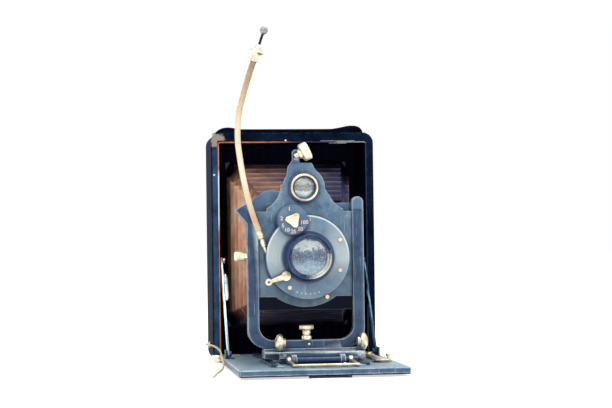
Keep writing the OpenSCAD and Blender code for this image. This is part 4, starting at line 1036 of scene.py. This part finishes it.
# %% [markdown]
# ## Figures and marks
# The speed dial carries plain figures and the cover a ring of small marks. They are cut in the metal
# and filled with paint. Real figures are engraved; raised 0.05 mm shapes look the same from here.

# %% Dial figures, cover marks and the index
SPEEDS = {"100": -12, "50": -52, "25": -88, "10": -122, "5": -152, "2": 172, "1": 108}
FIGURE_Y, FIGURE_TALL, FIGURE_RAISED, FIGURE_SPREAD, FIGURES_AT = -121.62, 3.3, 0.05, 0.07, 7.1
TICK_Y = -119.02


def dial_figures():
    """Type laid flat in the front view: each figure at its angle on a circle round the dial, one mesh."""
    joined = bmesh.new()
    for word, degrees in SPEEDS.items():
        kind = bpy.data.curves.new("dial_figures", "FONT")
        kind.body, kind.size, kind.align_x, kind.align_y = word, FIGURE_TALL * MM, "CENTER", "CENTER"
        kind.extrude, kind.offset, kind.resolution_u = FIGURE_RAISED * MM, FIGURE_SPREAD * MM, 3
        figure = shown("dial_figures", kind)
        flat = bpy.data.meshes.new_from_object(figure.evaluated_get(bpy.context.evaluated_depsgraph_get()))
        a = np.radians(degrees)
        place = DIAL + (FIGURES_AT * np.cos(a), FIGURE_Y, FIGURES_AT * np.sin(a))
        flat.transform(Matrix.Translation((place * MM).tolist()) @ Matrix.Rotation(np.pi / 2, 4, "X"))
        joined.from_mesh(flat)
        bpy.data.objects.remove(figure)
        bpy.data.meshes.remove(flat)
    mesh = bpy.data.meshes.new("dial_figures")
    joined.to_mesh(mesh)
    joined.free()
    return mesh


def ticks(name, centre, radius, angles_deg, half, material):
    """Short raised ticks on a circle in the front view, each a bead longer along the radius."""
    out = circle(np.radians(angles_deg))
    beads(name, "lens_panel", centre + radius * out + (0, TICK_Y, 0), out, FORWARD, half, material)


piece("dial_figures", dial_figures(), dial_paint, "speed_dial", "aged_nickel", smooth=False)
ticks("cover_marks", LENS_AXIS, 22.5, np.arange(-108, -66, 7), (0.5, 0.42, 0.08), scale_paint)
ticks("dial_index_mark", DIAL, 10.9, [-2, 2, 6], (0.35, 0.3, 0.1), dial_paint)
print("figures:", len(SPEEDS))

# %% [markdown]
# ## Strut spring
# A flat tongue lies along the inside of the left strut, below its stud; a thumb pushes it to let the
# bed fold. It is bright from wear. Its section is a flat oval that narrows at both ends.

# %% Strut spring
SPRING_START, SPRING_RUN = np.array((-46.35, -21.4, 59.2)), np.array((0, -12.3, -17.0))
SPRING_OUT = np.array((0, -0.811, 0.586))
SPRING_HALF_WIDE, SPRING_HALF_THICK = 1.5, 0.35


def strut_spring():
    """Point (i, k) = middle[i] + half width w[i] cos k across + half thickness sin k out."""
    along = np.linspace(0, 1, 14)
    middle = SPRING_START + along[:, None] * SPRING_RUN
    narrowed = np.sqrt(np.clip(1 - np.abs(2 * along - 1) ** 6, 0.04, 1))
    angle = round_angles(20)[None, :, None]
    across = SPRING_HALF_WIDE * narrowed[:, None, None] * np.cos(angle) * np.array((1, 0, 0))
    return middle[:, None] + across + SPRING_HALF_THICK * np.sin(angle) * SPRING_OUT


grid_piece("strut_spring", strut_spring(), pale_steel, "strut_left", "pale_blue_steel")
print("strut springs:", 1)

# %% [markdown]
# ## Light trap
# No light may pass under the lens panel. A skirt hangs behind its lower edge, and two bars fill the
# board's opening as far as the rear lens leaves room when the panel slides. The bellows' corners are
# cut off where the picture window's aren't, so a small triangle closes each corner of the window.

# %% Skirt, bars and triangles
BOARD_BAR_Y, SKIRT_Y, CORNER_Y = (-102.3, -101.3), (-106.35, -105.5), (16.1, 16.9)
WINDOW_MIDDLE_Z, WINDOW_HALF, CUT_FROM = 79, (42.05, 56.55), (37.7, 49.6)


def plate(name, outline, y_mm, body, finish=black_enamel):
    """Upright plate: the outline's points (x, z) in a front and a back row."""
    rows = [[(x, y, z) for x, z in outline] for y in y_mm]
    grid_piece(name, rows, finish, body, "dark_blue_enamel", smooth=False)


def bar(x0, x1, z0, z1):
    """Outline of a rectangle."""
    return [(x0, z0), (x1, z0), (x1, z1), (x0, z1)]


plate("panel_skirt", bar(-33.2, 25.2, 38.2, 52.0), SKIRT_Y, "lens_panel", board_enamel)
plate("board_sill", bar(-28.1, 20.1, 44.9, 50.2), BOARD_BAR_Y, "standard_frame")
plate("board_lintel", bar(-28.1, 20.1, 95.8, 100.1), BOARD_BAR_Y, "standard_frame")
for level, up in (("low", -1), ("top", 1)):
    for side, out in (("left", -1), ("right", 1)):
        x, z = out * WINDOW_HALF[0], WINDOW_MIDDLE_Z + up * WINDOW_HALF[1]
        triangle = [(x, z), (x, WINDOW_MIDDLE_Z + up * CUT_FROM[1]), (out * CUT_FROM[0], z)]
        plate(f"window_corner_{level}_{side}", triangle, CORNER_Y, "camera_body")
print("light trap:", 7, "plates")

# %% [markdown]
# ## Inside the lens
# Behind the front glass lies more glass. It is a shallow dome of the same radius, and it carries a
# painted reflection, the blue mirror image. The finder has the same behind its smaller glass.

# %% Inner lens surfaces
turned_piece(
    "lens_inner_surface", "lens_panel",
    [(10.45, 1.0), (10.45, 0.4), (9.0, -0.1), (6.0, -0.75), (3.0, -1.1), (0, -1.25), (0, 1.0)],
    LENS_AXIS + FORWARD * 121.6, -FORWARD, lens_depth, "lens_glass")
turned_piece(
    "finder_inner_surface", "lens_panel",
    [(6.2, 0.8), (6.2, 0.2), (4.5, -0.35), (2.0, -0.75), (0, -0.85), (0, 0.8)],
    FINDER_AXIS + FORWARD * 106.2, -FORWARD, finder_depth, "lens_glass")
print("inner surfaces:", 2)

# %% [markdown]
# ## Rivets
# Small domed nails hold the leather's edge, and one holds the lock's washer on the standard.

# %% Nails and rivets
NAILS = [(-52.9, -21.0, 125.5), (-4.6, -21.0, 148.3)]
ACROSS = (1.0, 0.0, 0.0)
beads("leather_nails", "camera_body", NAILS, ACROSS, FORWARD, (0.7, 0.7, 0.35))
beads("bar_rivet", "standard_frame", [(-2.6, -109.0, 17.0)], ACROSS, FORWARD, (0.8, 0.8, 0.3))
print("nails:", len(NAILS), "rivets:", 1)

# %% [markdown]
# ## The studio
# A pale floor and a soft, even light show the colours as they are written. The background is white
# to the eye and to what the metal mirrors, and the floor keeps a faint shadow under the camera.

# %% Floor, world and lamps
# Each lamp: place, size and power
LAMPS = {"key_lamp": ((-0.7, -1.0, 1.25), 0.8, 13.0), "fill_lamp": ((1.1, -0.9, 0.7), 1.0, 5.0),
         "top_lamp": ((0.1, -0.1, 1.5), 1.0, 13.0)}
LAMPS_AIM, FLOOR_REACH = (0, -0.06, 0.08), 6.0


def seen_level(part, given, looked_at):
    """One level for the lens, for mirrors and through glass, and another for the light that is given."""
    path = part.add("LightPath")
    seen = part.calc("MAXIMUM", path["Is Camera Ray"], path["Is Glossy Ray"])
    return part.band(part.calc("MAXIMUM", seen, path["Is Transmission Ray"]), start=given, end=looked_at)


def look_from(direction):
    """Turn whose third axis is the direction, so that a lamp there shines back along it."""
    back = direction / np.linalg.norm(direction)
    right = np.cross((0, 0, 1), back)
    right /= np.linalg.norm(right)
    return np.stack((right, np.cross(back, right), back), 1)


def studio():
    """White world for the lens and for reflections, softer for the light it gives; three large lamps."""
    world = bpy.data.worlds.new("studio_world")
    world.use_nodes = True
    sky = Nodes(world.node_tree)
    back = sky.tree.nodes["Background"]
    back.inputs["Color"].default_value = colour("#ffffff")
    sky.tree.links.new(seen_level(sky, 0.42, 1.0), back.inputs["Strength"])
    bpy.context.scene.world = world

    pale = Finish("pale_studio_floor", Base_Color=colour("#f2f2f2"), Roughness=0.9,
                  Emission_Color=colour("#ffffff"))
    pale.feed("Emission Strength", seen_level(pale, 0.0, 0.62))
    floor_mesh = bpy.data.meshes.new("floor")
    corners = [(x * FLOOR_REACH, y * FLOOR_REACH, 0.0) for x, y in ((-1, -1), (1, -1), (1, 1), (-1, 1))]
    floor_mesh.from_pydata(corners, [], [(0, 1, 2, 3)])
    floor_mesh.materials.append(pale.material)
    shown("floor", floor_mesh)

    for name, (place, size, power) in LAMPS.items():
        data = bpy.data.lights.new(name, "AREA")
        data.shape, data.size, data.energy = "DISK", size, power
        lamp = shown(name, data)
        turn = look_from(np.array(place) - LAMPS_AIM)
        lamp.matrix_world = Matrix.Translation(place) @ Matrix(turn.tolist()).to_4x4()


studio()
bpy.context.scene.view_settings.view_transform = "Standard"
